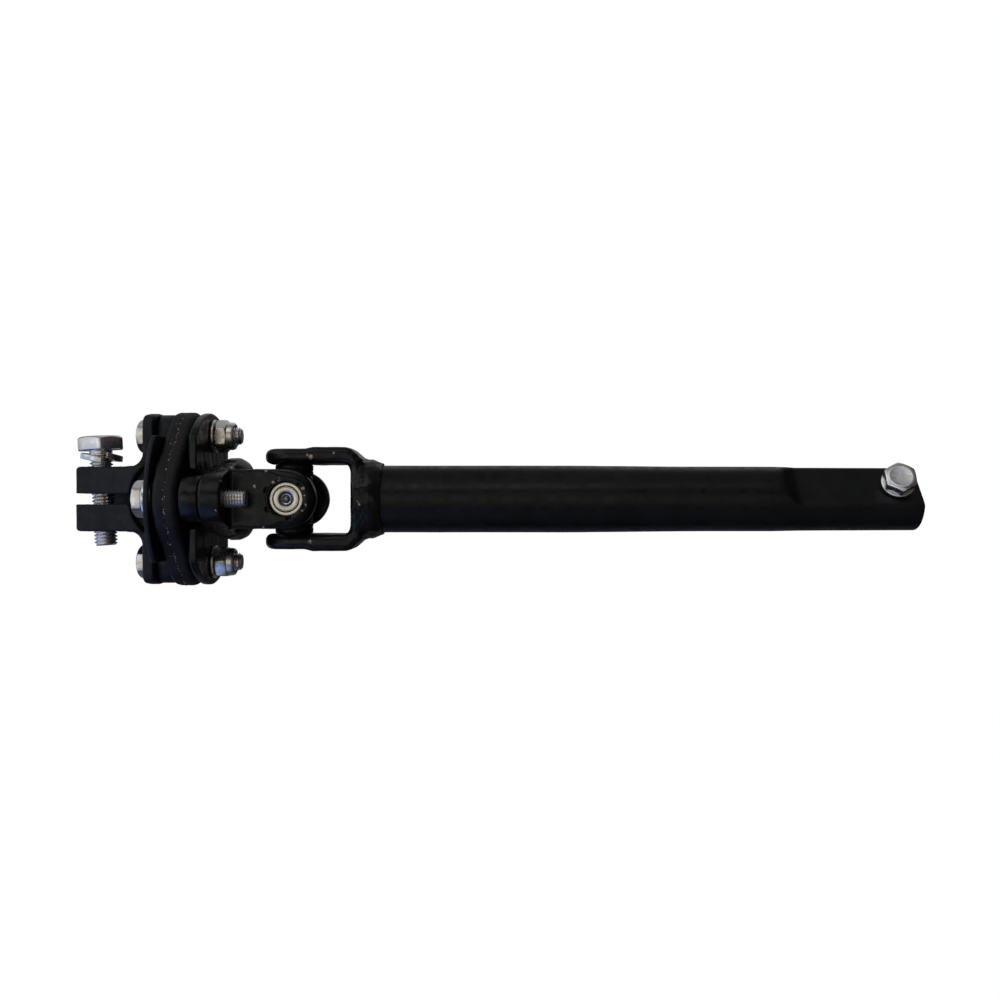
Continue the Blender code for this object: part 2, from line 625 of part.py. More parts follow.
def tube_yoke(material, pivot):
    """Side outline intersected with the arms' plan, then joined to the round base, neck and weld."""
    tip = -TUBE_ARM_HALF - 1
    upper = [(tip, ARM_INNER), (tip, TUBE_ARM_OUTER), (SWELL_START, TUBE_ARM_OUTER)]
    upper += [(SWELL_END, TUBE_ARM_SWELL)]
    upper += arc(BEND_CENTRE, BEND_RADIUS, 90, 45, 4)
    upper += [(BEND_END, BASE_RADIUS - 0.1)]
    inner = [(WINDOW_RIGHT, 0)]
    inner += arc((WINDOW_RIGHT - WINDOW_FILLET, ARM_INNER - WINDOW_FILLET), WINDOW_FILLET, 0, 90, 4)
    half = upper[::-1]
    outline = half + inner[:0:-1] + [(x, -z) for x, z in inner[1:]] + [(x, -z) for x, z in upper]
    yoke = add_piece("tube_yoke", prism(outline, -TUBE_ARM_HALF - 1, TUBE_ARM_HALF + 1, "Y"),
                     material, pivot)
    plan = arc((0, 0), TUBE_ARM_HALF, 90, 270, 16)
    plan += [(SOCKET_LEFT + 2, -TUBE_ARM_HALF), (SOCKET_LEFT + 2, TUBE_ARM_HALF)]
    reach = TUBE_ARM_SWELL + OVERSHOOT
    guide = add_piece("tube_arm_plan", prism(plan, -reach, reach, "Z"), material, pivot)
    combine(yoke, guide, "INTERSECT")
    base = [
        (BASE_LEFT, circle(BASE_RADIUS - BASE_CHAMFER)),
        (BASE_LEFT + BASE_CHAMFER, circle(BASE_RADIUS)),
        (NECK_RIGHT, circle(BASE_RADIUS)),
        (WELD_RIGHT, circle(WELD_RADIUS)),
    ]
    combine(yoke, add_piece("yoke_base_guide", turned(base, ROUND_STEPS), material, pivot), "UNION")
    socket = rod(SOCKET_LEFT, WELD_RIGHT + OVERSHOOT, SOCKET_RADIUS, ROUND_STEPS)
    combine(yoke, add_piece("socket_cutter", socket, material, pivot))
    bore = rod(-reach, reach, CUP_BORE, 24, axis=Z_AXIS, side=X_AXIS)
    combine(yoke, add_piece("tube_yoke_cup_cutter", bore, material, pivot))


def flat_side(distance):
    """Distance of the pressed flat from the axis, easing in from the round at its left end."""
    share = min(max((distance - FLAT_START) / (FLAT_FULL - FLAT_START), 0), 1)
    ease = share * share * (3 - 2 * share)
    return TUBE_RADII[0][1] + (FLAT_DISTANCE - TUBE_RADII[0][1]) * ease


def flattened(distance, radius, wall):
    """Radius by angle of the tube's outside, or of its inside when wall is its thickness."""
    flat = flat_side(distance) - wall
    facing = math.atan2(FLAT_NORMAL.z, FLAT_NORMAL.y)

    def limit(angle):
        lean = math.cos(angle - facing)
        return min(radius - wall, flat / lean) if lean > 0.1 else radius - wall
    return limit


def shaft_tube(material, pivot):
    """Tube skinned along its outside, with a chamfer at the end, and back along its inside."""
    end_radius = TUBE_RADII[-1][1]
    stations = [(x, flattened(x, radius, 0)) for x, radius in TUBE_RADII]
    stations.append((TUBE_END, flattened(TUBE_END, TUBE_END_RADIUS, 0)))
    stations.append((TUBE_END, flattened(TUBE_END, end_radius, TUBE_WALL)))
    stations += [(x, flattened(x, radius, TUBE_WALL)) for x, radius in reversed(TUBE_RADII[:-1])]
    tube = add_piece("shaft_tube", turned(stations, ROUND_STEPS, loop=True), material, pivot)
    hole = rod(FLAT_DISTANCE - TUBE_WALL - OVERSHOOT, FLAT_DISTANCE + OVERSHOOT, TUBE_HOLE_RADIUS,
               centre=(TUBE_BOLT_X, 0, 0), axis=FLAT_NORMAL, side=X_AXIS)
    combine(tube, add_piece("tube_hole_cutter", hole, material, pivot))


def tube_bolt(zinc, pivot):
    """Bolt leaning above the flat, the washer under its head and the tip inside the tube."""
    centre = Vector((TUBE_BOLT_X, 0, 0)) + FLAT_NORMAL * FLAT_DISTANCE
    stations = bolt_stations(-TUBE_BOLT_UNDER, TUBE_BOLT_HEAD, HUB_FLATS, TUBE_BOLT_DEPTH, M8_RADIUS)
    bolt = turned(stations, BOLT_STEPS, centre=centre, axis=-TUBE_BOLT_AXIS, side=TUBE_BOLT_SIDE)
    add_piece("tube_bolt", bolt, zinc, pivot)
    high = TUBE_BOLT_UNDER - GAP
    washer = ring(high - WASHER_THICKNESS, high, M8_HOLE, TUBE_WASHER_RADIUS,
                  centre=centre, axis=TUBE_BOLT_AXIS, side=TUBE_BOLT_SIDE)
    add_piece("tube_bolt_washer", washer, zinc, pivot)


def build():
    clear_scene()
    black = make_material("black_paint", (0.012, 0.013, 0.016), 0.38, 0.0)
    zinc = make_material("zinc_plate", (0.62, 0.63, 0.64), 0.3, 1.0)
    steel = make_material("bearing_steel", (0.42, 0.39, 0.34), 0.42, 1.0)
    rubber = make_material("black_rubber", (0.014, 0.014, 0.015), 0.75, 0.0)
    nylon = make_material("nylon", (0.75, 0.74, 0.68), 0.5, 0.0)

    hub_pivot = add_empty("hub_body", (0, 0, 0))
    hub_pivot.location.x = CROSS_X * MM
    disc_pivot = add_empty("disc_body", (DISC_CENTRE, 0, 0), hub_pivot)
    flange_pivot = add_empty("flange_yoke_body", (DISC_CENTRE, 0, 0), disc_pivot)
    cross_pivot = add_empty("cross_body", (0, 0, 0), flange_pivot)
    tube_pivot = add_empty("tube_body", (0, 0, 0), cross_pivot)

    clamp_hub(black, hub_pivot)
    pinch_bolt(zinc, hub_pivot)
    pinch_spring_washer(zinc, hub_pivot)
    hub_fasteners(zinc, black, nylon, hub_pivot)
    rear_stop_bar(black, hub_pivot)
    coupling_disc(rubber, disc_pivot)
    front_stop_plate(black, flange_pivot)
    yoke_fasteners(zinc, black, flange_pivot)
    flange_yoke(black, flange_pivot)
    bearing("front", -Y_AXIS, Z_AXIS, steel, rubber, flange_pivot)
    bearing("back", Y_AXIS, Z_AXIS, steel, rubber, flange_pivot)
    cross(steel, cross_pivot)
    bearing("top", Z_AXIS, X_AXIS, steel, rubber, tube_pivot)
    bearing("bottom", -Z_AXIS, X_AXIS, steel, rubber, tube_pivot)
    tube_yoke(black, tube_pivot)
    shaft_tube(black, tube_pivot)
    tube_bolt(zinc, tube_pivot)


build()
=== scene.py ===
"""Looks of the universal joint steering shaft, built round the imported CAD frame.

Shapes are worked out in millimetres from the centre of the cross, with +X along the shaft, and
add_piece puts them in the frame's metres. Forged, pressed and moulded pieces are the zero surface of a
distance field, which gives their edges and corners real radii. Turned pieces are skinned through rows
of (distance, radius) by angle. Each fine piece stands for one CAD node and rides on its body.
"""

import json
import math

import bpy
import numpy as np
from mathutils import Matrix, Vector


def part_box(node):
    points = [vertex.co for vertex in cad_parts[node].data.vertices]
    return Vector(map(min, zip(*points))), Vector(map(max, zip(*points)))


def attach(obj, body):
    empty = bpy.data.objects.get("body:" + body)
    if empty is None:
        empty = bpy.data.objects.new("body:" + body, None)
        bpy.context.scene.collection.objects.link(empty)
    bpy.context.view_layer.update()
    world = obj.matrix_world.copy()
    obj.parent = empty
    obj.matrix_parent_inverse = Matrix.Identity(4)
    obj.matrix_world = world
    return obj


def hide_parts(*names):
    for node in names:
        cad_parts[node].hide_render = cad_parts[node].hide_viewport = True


MM = 0.001
X_AXIS = np.array((1.0, 0.0, 0.0))
Y_AXIS = np.array((0.0, 1.0, 0.0))
Z_AXIS = np.array((0.0, 0.0, 1.0))

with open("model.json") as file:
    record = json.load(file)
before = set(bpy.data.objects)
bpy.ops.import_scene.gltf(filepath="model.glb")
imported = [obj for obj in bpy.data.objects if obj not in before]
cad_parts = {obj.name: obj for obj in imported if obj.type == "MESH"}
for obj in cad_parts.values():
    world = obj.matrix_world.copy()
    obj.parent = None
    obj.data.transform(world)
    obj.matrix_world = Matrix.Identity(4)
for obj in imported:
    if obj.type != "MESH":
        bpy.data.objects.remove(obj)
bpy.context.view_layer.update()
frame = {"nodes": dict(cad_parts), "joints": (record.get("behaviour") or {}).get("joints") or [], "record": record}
JOINTS = {joint["name"]: joint for joint in frame["joints"]}
CROSS = Vector(JOINTS["joint_pitch"]["pos_m"])
BODIES = frame["record"]["behaviour"]["bodies"]
BODY_OF = {node: body for body, nodes in BODIES.items() for node in nodes}
SLOT_OF = {}


def span(node):
    """Lowest and highest corner of a CAD node, in millimetres from the cross."""
    low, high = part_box(node)
    return (low - CROSS) / MM, (high - CROSS) / MM


# Places read from the frame.
HUB_LOW, HUB_HIGH = span("clamp_hub")
DISC_LOW, DISC_HIGH = span("coupling_disc")
PLATE_LOW, PLATE_HIGH = span("front_stop_plate")
BAR_LOW, BAR_HIGH = span("rear_stop_bar")
FLANGE_LOW, FLANGE_HIGH = span("flange_yoke")
YOKE_LOW, YOKE_HIGH = span("tube_yoke")
TUBE_LOW, TUBE_HIGH = span("shaft_tube")
BOLT_CIRCLE = sum(c.z for c in span("hub_bush_top")) / 2

# Clamp hub.
BLOCK_HALF = 14.3
BLOCK_CORNER = 2.1
EAR_LEFT = -64.4
EAR_HALF = 13.3
EAR_CROWN = 41.0
EAR_CORNER = 5.0
EAR_FILLET = 6.0
HUB_BORE = 8.8
SLIT = 4.7
SAW_RADIUS = 50.0
SAW_CENTRE = (-116.0, -22.7)
RECESS_RADIUS = 18.4
RECESS_X = -49.0
RECESS_Y = -17.0
M8_HOLE = 4.4

# Pinch bolt and its spring washer.
PINCH_X = -81.2
PINCH_Y = -13.0
PINCH_HOLE = 6.1
PINCH_LEAN = math.radians(3.4)
PINCH_TURN = math.radians(20.0)
PINCH_RADIUS = 4.9
PINCH_PITCH = 1.5
PINCH_FLATS = 18.5
PINCH_HEAD_LOW = 21.5
PINCH_HEAD_HEIGHT = 5.8
PINCH_END = -20.3
PINCH_PLAIN = 19.0
SPRING_INNER = 5.7
SPRING_OUTER = 8.8
SPRING_THICKNESS = 2.5
SPRING_MIDDLE = 18.2
SPRING_RISE = 1.2
SPRING_TILT = math.radians(6.0)
SPRING_TURN = math.radians(344)
SPRING_SPLIT = math.radians(-63)
SPRING_SHIFT = 0.25

# Coupling.
DISC_RADIUS = 35.9
DISC_LOBE = 2.9
DISC_ROUND = 2.6
DISC_BORE = 8.0
BUSH_PLAY = 0.45
PLATE_RADIUS = 38.0
PLATE_NOTCH = 10.3
BAR_RADIUS = 38.5
BAR_HALF_WIDTH = 28.0
BAR_NOTCH = 12.5

# M8 fasteners.
M8_RADIUS = 4.0
M8_PITCH = 1.25
HUB_FLATS = 13.0
YOKE_FLATS = 14.0
HUB_HEAD = 4.8
YOKE_HEAD = 4.3
NUT_HEX = 5.3
NUT_TURNS = {"top": math.radians(4), "bottom": math.radians(27)}

# Flange yoke.
FLANGE_RIGHT = -23.6
FLANGE_HUB = 18.0
DOME_LEFT = -24.5
DOME_RIGHT = -19.5
BOSS_RADIUS = 11.5
ARM_INNER = 15.5
ARM_OUTER = 23.4
FLANGE_ARM_HALF = 12.9
TIP_BEVEL = 2.4
CUP_BORE = 7.8

# Tube yoke.
TUBE_ARM_HALF = 12.6
TUBE_ARM_OUTER = 22.3
ARM_SWELL = 23.0
WINDOW_RIGHT = 27.0
WINDOW_FILLET = 4.0
BEND_CENTRE = (23.5, 16.5)
BEND_RADIUS = 6.5
BEND_END = 31.8
BASE_LEFT = 27.6
BASE_RADIUS = 18.0
NECK_RIGHT = 36.2
WELD_RADIUS = 15.8
SOCKET_LEFT = 31.0
SOCKET_RADIUS = 15.3

# Shaft tube.
TUBE_WALL = 3.6
TUBE_LEFT_RADIUS = 15.0
TUBE_RADII = ((31.3, 15.0), (126.0, 15.0), (173.0, 14.55), (214.0, 14.5), (226.0, 14.25), (278.0, 14.05))
FLAT_START = 214.0
FLAT_FULL = 226.0
FLAT_DISTANCE = 8.7
FLAT_RISE = math.radians(42)
FLAT_NORMAL = np.array((0.0, -math.cos(FLAT_RISE), math.sin(FLAT_RISE)))
FLAT_CORNER = 1.6
TUBE_BOLT_X = 268.6
TUBE_BOLT_RISE = math.radians(29)
TUBE_BOLT_YAW = math.radians(4.5)
TUBE_BOLT_LEVEL = np.array((0.0, -math.cos(TUBE_BOLT_RISE), math.sin(TUBE_BOLT_RISE)))
TUBE_BOLT_AXIS = TUBE_BOLT_LEVEL * math.cos(TUBE_BOLT_YAW) - X_AXIS * math.sin(TUBE_BOLT_YAW)
TUBE_BOLT_SIDE = TUBE_BOLT_LEVEL * math.sin(TUBE_BOLT_YAW) + X_AXIS * math.cos(TUBE_BOLT_YAW)
TUBE_BOLT_UNDER = 3.9
TUBE_BOLT_HEAD = 5.0
TUBE_BOLT_DEPTH = 5.1
GAP = 0.3


# Distance fields.

def rounded_union(a, b, radius):
    """Union of two fields with a fillet where they meet."""
    corner = np.hypot(np.maximum(radius - a, 0), np.maximum(radius - b, 0))
    return np.maximum(radius, np.minimum(a, b)) - corner


def rounded_common(a, b, radius):
    """Intersection of two fields with its edge rounded."""
    corner = np.hypot(np.maximum(radius + a, 0), np.maximum(radius + b, 0))
    return np.minimum(-radius, np.maximum(a, b)) + corner


def rounded_cut(a, b, radius):
    return rounded_common(a, -b, radius)


def slab(value, low, high):
    return np.abs(value - (low + high) / 2) - (high - low) / 2


def outline_field(points, u, v):
    """Signed distance to a closed outline, negative inside it."""
    u, v = np.broadcast_arrays(u, v)
    nearest = np.full(u.shape, np.inf)
    inside = np.zeros(u.shape, bool)
    for (ax, ay), (bx, by) in zip(points, points[1:] + points[:1]):
        ex, ey = bx - ax, by - ay
        length = ex * ex + ey * ey
        if length < 1e-12:
            continue
        share = np.clip(((u - ax) * ex + (v - ay) * ey) / length, 0, 1)
        nearest = np.minimum(nearest, (u - ax - share * ex) ** 2 + (v - ay - share * ey) ** 2)
        if abs(ey) > 1e-9:
            inside ^= ((ay > v) != (by > v)) & (u < ex * (v - ay) / ey + ax)
    return np.where(inside, -1, 1) * np.sqrt(nearest)


def arc(centre, radius, start, end, steps=16):
    """Points on an arc from start to end, in degrees."""
    angles = np.radians(np.linspace(start, end, steps + 1))
    return [(centre[0] + radius * math.cos(a), centre[1] + radius * math.sin(a)) for a in angles]


def mirrored(points):
    """Outline completed by its mirror image across the first coordinate's axis."""
    return points + [(a, -b) for a, b in reversed(points)]


def lumps(x, y, z, size, seed, waves=9):
    """Smooth unevenness of about unit height and the given size, the same on every run."""
    random = np.random.default_rng(seed)
    total = 0
    for _ in range(waves):
        direction = random.normal(size=3)
        direction *= random.uniform(0.7, 1.4) * math.tau / size / np.linalg.norm(direction)
        phase = random.uniform(0, math.tau)
        total = total + np.sin(direction[0] * x + direction[1] * y + direction[2] * z + phase)
    return total / math.sqrt(waves)


def smooth_step(value, low, high):
    share = np.clip((value - low) / (high - low), 0, 1)
    return share * share * (3 - 2 * share)


def spots(x, y, z, places):
    """1 at each (centre, radius) place, falling to 0 at twice its radius."""
    total = 0
    for (cx, cy, cz), radius in places:
        away = np.sqrt((x - cx) ** 2 + (y - cy) ** 2 + (z - cz) ** 2)
        total = np.maximum(total, 1 - smooth_step(away, radius * 0.6, radius * 2))
    return total


def surface(field, low, high, step):
    """Vertices and quads of a field's zero surface, by surface nets, pulled onto the surface."""
    ticks = [np.arange(a - 2.5 * step, b + 2.5 * step, step) for a, b in zip(low, high)]
    x, y, z = ticks
    values = field(x[:, None, None], y[None, :, None], z[None, None, :])
    grid = np.array(np.broadcast_to(values, [len(t) for t in ticks]))
    inside = grid < 0
    cells = [n - 1 for n in grid.shape]
    offset = np.zeros((*cells, 3))
    count = np.zeros(cells)
    crossings = []
    for axis in range(3):
        lower = [slice(None)] * 3
        upper = [slice(None)] * 3
        lower[axis] = slice(0, -1)
        upper[axis] = slice(1, None)
        a, b = grid[tuple(lower)], grid[tuple(upper)]
        crossing = inside[tuple(lower)] != inside[tuple(upper)]
        share = np.where(crossing, a / np.where(crossing, a - b, 1), 0)
        crossings.append(crossing)
        second, third = (axis + 1) % 3, (axis + 2) % 3
        for i in (0, 1):
            for j in (0, 1):
                part = [slice(None)] * 3
                part[second] = slice(i, i + cells[second])
                part[third] = slice(j, j + cells[third])
                found = crossing[tuple(part)]
                offset[..., axis] += share[tuple(part)]
                offset[..., second] += i * found
                offset[..., third] += j * found
                count += found
    active = count > 0
    index = np.full(cells, -1)
    index[active] = np.arange(active.sum())
    points = np.argwhere(active) + offset[active] / count[active][:, None]
    points = np.array([t[0] for t in ticks]) + points * step
    quads = []
    for axis in range(3):
        second, third = (axis + 1) % 3, (axis + 2) % 3
        place = np.argwhere(crossings[axis])
        inner = (place[:, second] > 0) & (place[:, third] > 0)
        inner &= (place[:, second] < cells[second]) & (place[:, third] < cells[third])
        place = place[inner]
        corners = []
        for i, j in ((1, 1), (0, 1), (0, 0), (1, 0)):
            cell = place.copy()
            cell[:, second] -= i
            cell[:, third] -= j
            corners.append(index[tuple(cell.T)])
        corners = np.stack(corners, 1)
        outward = inside[tuple(place.T)]
        quads.append(np.where(outward[:, None], corners, corners[:, ::-1]))
    return pull(points, field, step), np.concatenate(quads)


def pull(points, field, step):
    """Points moved along the field's slope onto its zero surface."""
    reach = 0.04
    for _ in range(3):
        value = field(*points.T)
        slope = np.empty_like(points)
        for axis in range(3):
            shift = np.zeros(3)
            shift[axis] = reach
            slope[:, axis] = (field(*(points + shift).T) - field(*(points - shift).T)) / (2 * reach)
        size = np.maximum((slope**2).sum(1), 0.25)
        move = np.clip(value, -step / 2, step / 2) / size
        points = points - slope * move[:, None]
    return points


# Turned pieces.

def hexagon(angles, flats, corner=0.566):
    """Radius of a hexagon by angle, a flat at angle 0, its corners cut back to a share of the flats."""
    off = (angles + math.pi / 6) % (math.pi / 3) - math.pi / 6
    return np.minimum(flats / 2 / np.cos(off), flats * corner)


def turned(rows, steps, centre=(0, 0, 0), axis=X_AXIS, side=Y_AXIS, loop=False):
    """Vertices and faces through rows of (distance along the axis, radius), each a number or by angle."""
    angles = np.arange(steps) * math.tau / steps
    across = np.cross(axis, side)
    out = np.outer(np.cos(angles), side) + np.outer(np.sin(angles), across)
    rings = []
    for distance, radius in rows:
        distance = np.broadcast_to(distance, steps)
        radius = np.broadcast_to(radius, steps)
        rings.append(np.asarray(centre) + np.outer(distance, axis) + out * radius[:, None])
    points = np.concatenate(rings)
    faces = []
    last = len(rows) if loop else len(rows) - 1
    for row in range(last):
        low, high = row * steps, (row + 1) % len(rows) * steps
        for i in range(steps):
            j = (i + 1) % steps
            faces.append((low + i, low + j, high + j, high + i))
    if not loop:
        faces.append(tuple(range(steps))[::-1])
        faces.append(tuple(range((len(rows) - 1) * steps, len(rows) * steps)))
    return points, faces


def by_angle(steps):
    return np.arange(steps) * math.tau / steps


def ring_rows(low, high, inner, outer, bevel=0.25):
    """Rows round a flat ring with bevelled edges."""
    rows = [(low, inner + bevel), (low, outer - bevel), (low + bevel * 0.3, outer - bevel * 0.3)]
    rows += [(low + bevel, outer), (high - bevel, outer)]
    rows += [(high - bevel * 0.3, outer - bevel * 0.3), (high, outer - bevel), (high, inner + bevel)]
    rows += [(high - bevel, inner), (low + bevel, inner)]
    return rows


def thread_rows(low, high, radius, pitch, steps, fade_low=0.0, fade_high=1.0):
    """Rows of a screw thread along the axis, its depth fading in and out at the ends."""
    angles = by_angle(steps)
    depth = 0.61 * pitch
    rows = []
    for distance in np.arange(low, high, pitch / 16):
        phase = (distance / pitch - angles / math.tau) % 1
        height = 0.5 + 0.5 * np.cos(math.tau * phase)
        fade = 1.0
        if fade_low:
            fade *= float(smooth_step(distance, low, low + fade_low))
        lost = depth * (1 - height) * fade
        taper = max(0.0, distance - (high - fade_high)) * 0.9
        rows.append((distance, np.minimum(radius - lost, radius - taper)))
    return rows


def head_rows(outer, under, flats, steps, dish=0.12):
    """Rows of a hexagon head from its dished face to its underside, with the true chamfer arcs."""
    angles = by_angle(steps)
    corner = hexagon(angles, flats)
    face = flats * 0.455
    rows = [(outer + dish, face * 0.2), (outer + dish, face * 0.62), (outer + dish * 0.4, face * 0.74)]
    rows += [(outer, face * 0.82), (outer, face)]
    for share in (0.33, 0.66, 0.95):
        radius = face + (corner - face) * share
        rows.append((outer + (radius - face) * math.tan(math.radians(30)) + 0.04, radius))
    fall = outer + (corner - face) * math.tan(math.radians(30))
    rows.append((fall + 0.12, corner - 0.02))
    rows.append((fall + 0.3, corner))
    rows.append((np.full(steps, under - 0.3), corner))
    rows.append((under - 0.08, corner - 0.05))
    rows.append((under, corner - 0.3))
    return rows


def bolt_rows(under, height, flats, tip, radius, pitch, plain_to, steps):
    """Rows of a whole bolt: head, plain neck, then thread to the tip."""
    rows = head_rows(under - height, under, flats, steps)
    rows += [(under, radius + 0.1), (under + 0.2, radius - 0.05), (plain_to, radius - 0.05)]
    rows += thread_rows(plain_to + 0.1, tip, radius, pitch, steps, fade_low=pitch)
    rows.append((tip, radius - 1.0))
    return rows


# Placing.

def to_mesh(name, points, faces):
    world = (np.asarray(points) * MM + np.array(CROSS)).tolist()
    mesh = bpy.data.meshes.new(name)
    mesh.from_pydata(world, [], [tuple(face) for face in np.asarray(faces).tolist()]
                     if isinstance(faces, np.ndarray) else faces)
    mesh.validate()
    return mesh


def add_piece(node, shape, material, sharp=180, bare=None, suffix="fine", stands=True):
    """Fine piece on the body of a CAD node. bare gives how worn each vertex is, from 0 to 1."""
    points, faces = shape
    mesh = to_mesh(f"{node}_{suffix}", points, faces)
    mesh.materials.append(material)
    mesh.shade_smooth()
    if sharp < 180:
        mesh.set_sharp_from_angle(angle=math.radians(sharp))
    if bare is not None:
        layer = mesh.attributes.new("bare", "FLOAT", "POINT")
        layer.data.foreach_set("value", np.asarray(bare, np.float32))
    piece = bpy.data.objects.new(mesh.name, mesh)
    bpy.context.scene.collection.objects.link(piece)
    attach(piece, BODY_OF[node])
    if stands:
        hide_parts(node)
    return piece


# Materials.

def add_node(tree, kind, inputs=None, **settings):
    """Node with its settings, each input given a value or linked from a socket."""
    item = tree.nodes.new("ShaderNode" + kind)
    for name, value in settings.items():
        setattr(item, name, value)
    for name, value in (inputs or {}).items():
        if isinstance(value, bpy.types.NodeSocket):
            tree.links.new(value, item.inputs[name])
        else:
            item.inputs[name].default_value = value
    return item


def start_material(name):
    material = bpy.data.materials.new(name)
    material.use_nodes = True
    tree = material.node_tree
    return material, tree, tree.nodes["Principled BSDF"]


def place_of(tree):
    return add_node(tree, "TexCoord").outputs["Object"]


def noise(tree, scale, detail=3.0, rough=0.55, vector=None):
    """Noise by position, its scale in features per metre."""
    inputs = {"Scale": scale, "Detail": detail, "Roughness": rough, "Vector": vector or place_of(tree)}
    return add_node(tree, "TexNoise", inputs).outputs["Fac"]


def remap(tree, value, low, high, out_low=0.0, out_high=1.0):
    inputs = {"Value": value, "From Min": low, "From Max": high, "To Min": out_low, "To Max": out_high}
    return add_node(tree, "MapRange", inputs, interpolation_type="SMOOTHSTEP").outputs["Result"]


def maths(tree, operation, a, b=0.0):
    inputs = {0: a, 1: b}
    return add_node(tree, "Math", inputs, operation=operation, use_clamp=operation == "MULTIPLY").outputs[0]


def mix(tree, share, a, b):
    """Colour between a and b."""
    item = add_node(tree, "Mix", data_type="RGBA")
    for index, value in ((0, share), (6, a), (7, b)):
        if isinstance(value, bpy.types.NodeSocket):
            tree.links.new(value, item.inputs[index])
        elif index:
            item.inputs[index].default_value = (*value, 1.0)
        else:
            item.inputs[index].default_value = value
    return item.outputs[2]


def bump(tree, height, distance, strength=1.0, normal=None):
    inputs = {"Height": height, "Distance": distance, "Strength": strength}
    if normal:
        inputs["Normal"] = normal
    return add_node(tree, "Bump", inputs).outputs["Normal"]


def feed(tree, shader, **sockets):
    names = {"colour": "Base Color", "rough": "Roughness", "metal": "Metallic", "normal": "Normal",
             "specular": "Specular IOR Level"}
    for key, value in sockets.items():
        socket = shader.inputs[names[key]]
        if isinstance(value, bpy.types.NodeSocket):
            tree.links.new(value, socket)
        else:
            socket.default_value = value


def black_paint(name, tone, rough, specular, peel, dust=0.5):
    """Black paint on forged steel: orange peel, uneven gloss, dust, worn edges and bare chips."""
    material, tree, shader = start_material(name)
    broad = noise(tree, 60, 2.0)
    fine = noise(tree, 900, 3.0, 0.6)
    grain = noise(tree, 3200, 2.0, 0.6)
    colour = mix(tree, remap(tree, broad, 0.35, 0.7), tone, [c * 1.7 for c in tone])
    specks = remap(tree, noise(tree, 1500, 4.0, 0.7), 0.66, 0.74)
    colour = mix(tree, maths(tree, "MULTIPLY", specks, 0.22 * dust), colour, (0.2, 0.18, 0.15))
    edge = add_node(tree, "NewGeometry").outputs["Pointiness"]
    worn = remap(tree, edge, 0.53, 0.6)
    patchy = remap(tree, noise(tree, 400, 5.0, 0.7), 0.52, 0.62)
    wear = maths(tree, "MULTIPLY", worn, patchy)
    colour = mix(tree, maths(tree, "MULTIPLY", wear, 0.35), colour, (0.10, 0.085, 0.07))
    bare = add_node(tree, "Attribute", attribute_name="bare").outputs["Fac"]
    ragged = add_node(tree, "Math", {0: noise(tree, 1500, 4.0, 0.75), 1: 1.9, 2: -0.5}, operation="MULTIPLY_ADD")
    torn = add_node(tree, "Math", {0: bare, 1: 0.75, 2: ragged.outputs[0]}, operation="MULTIPLY_ADD")
    torn = remap(tree, torn.outputs[0], 0.92, 1.12)
    metal = mix(tree, noise(tree, 2200), (0.16, 0.11, 0.08), (0.60, 0.52, 0.43))
    colour = mix(tree, torn, colour, metal)
    gloss = remap(tree, noise(tree, 220, 4.0), 0.3, 0.72, rough - 0.1, rough + 0.12)
    gloss = maths(tree, "ADD", gloss, maths(tree, "MULTIPLY", specks, 0.15))
    height = maths(tree, "ADD", maths(tree, "MULTIPLY", fine, 0.8), maths(tree, "MULTIPLY", grain, 0.25))
    height = maths(tree, "SUBTRACT", height, maths(tree, "MULTIPLY", torn, 0.8))
    normal = bump(tree, noise(tree, 180, 2.0), 0.0001, 0.5)
    normal = bump(tree, height, peel, 0.6, normal)
    feed(tree, shader, colour=colour, rough=gloss, metal=maths(tree, "MULTIPLY", torn, 0.7),
         normal=normal, specular=specular)
    return material


def zinc_plate(name, tint=0.5, rough=0.26):
    """Bright zinc with faint blue, straw and pink passivation, fine scratches and dull patches."""
    material, tree, shader = start_material(name)
    place = place_of(tree)
    slow = noise(tree, 240, 2.0, vector=place)
    silver = (0.84, 0.85, 0.87)
    colour = mix(tree, remap(tree, slow, 0.40, 0.62, 0, tint), silver, (0.88, 0.82, 0.66))
    other = noise(tree, 330, 2.0)
    colour = mix(tree, remap(tree, other, 0.56, 0.75, 0, tint), colour, (0.62, 0.73, 0.95))
    third = noise(tree, 510, 2.0, 0.4)
    colour = mix(tree, remap(tree, third, 0.58, 0.75, 0, tint), colour, (0.80, 0.62, 0.64))
    grime = remap(tree, noise(tree, 420, 3.0, 0.6), 0.56, 0.74)
    colour = mix(tree, maths(tree, "MULTIPLY", grime, 0.22), colour, (0.30, 0.29, 0.28))
    gloss = remap(tree, noise(tree, 500, 2.0), 0.3, 0.7, rough - 0.06, rough + 0.1)
    stretched = add_node(tree, "Mapping", {"Vector": place, "Scale": (1.0, 1.0, 9.0)}).outputs[0]
    scratches = noise(tree, 1400, 2.0, 0.6, stretched)
    height = maths(tree, "ADD", maths(tree, "MULTIPLY", scratches, 0.5), noise(tree, 2600, 3.0))
    normal = bump(tree, height, 0.000005, 0.4)
    normal = bump(tree, noise(tree, 300, 1.0), 0.00008, 0.25, normal)
    feed(tree, shader, colour=colour, rough=gloss, metal=1.0, normal=normal)
    return material


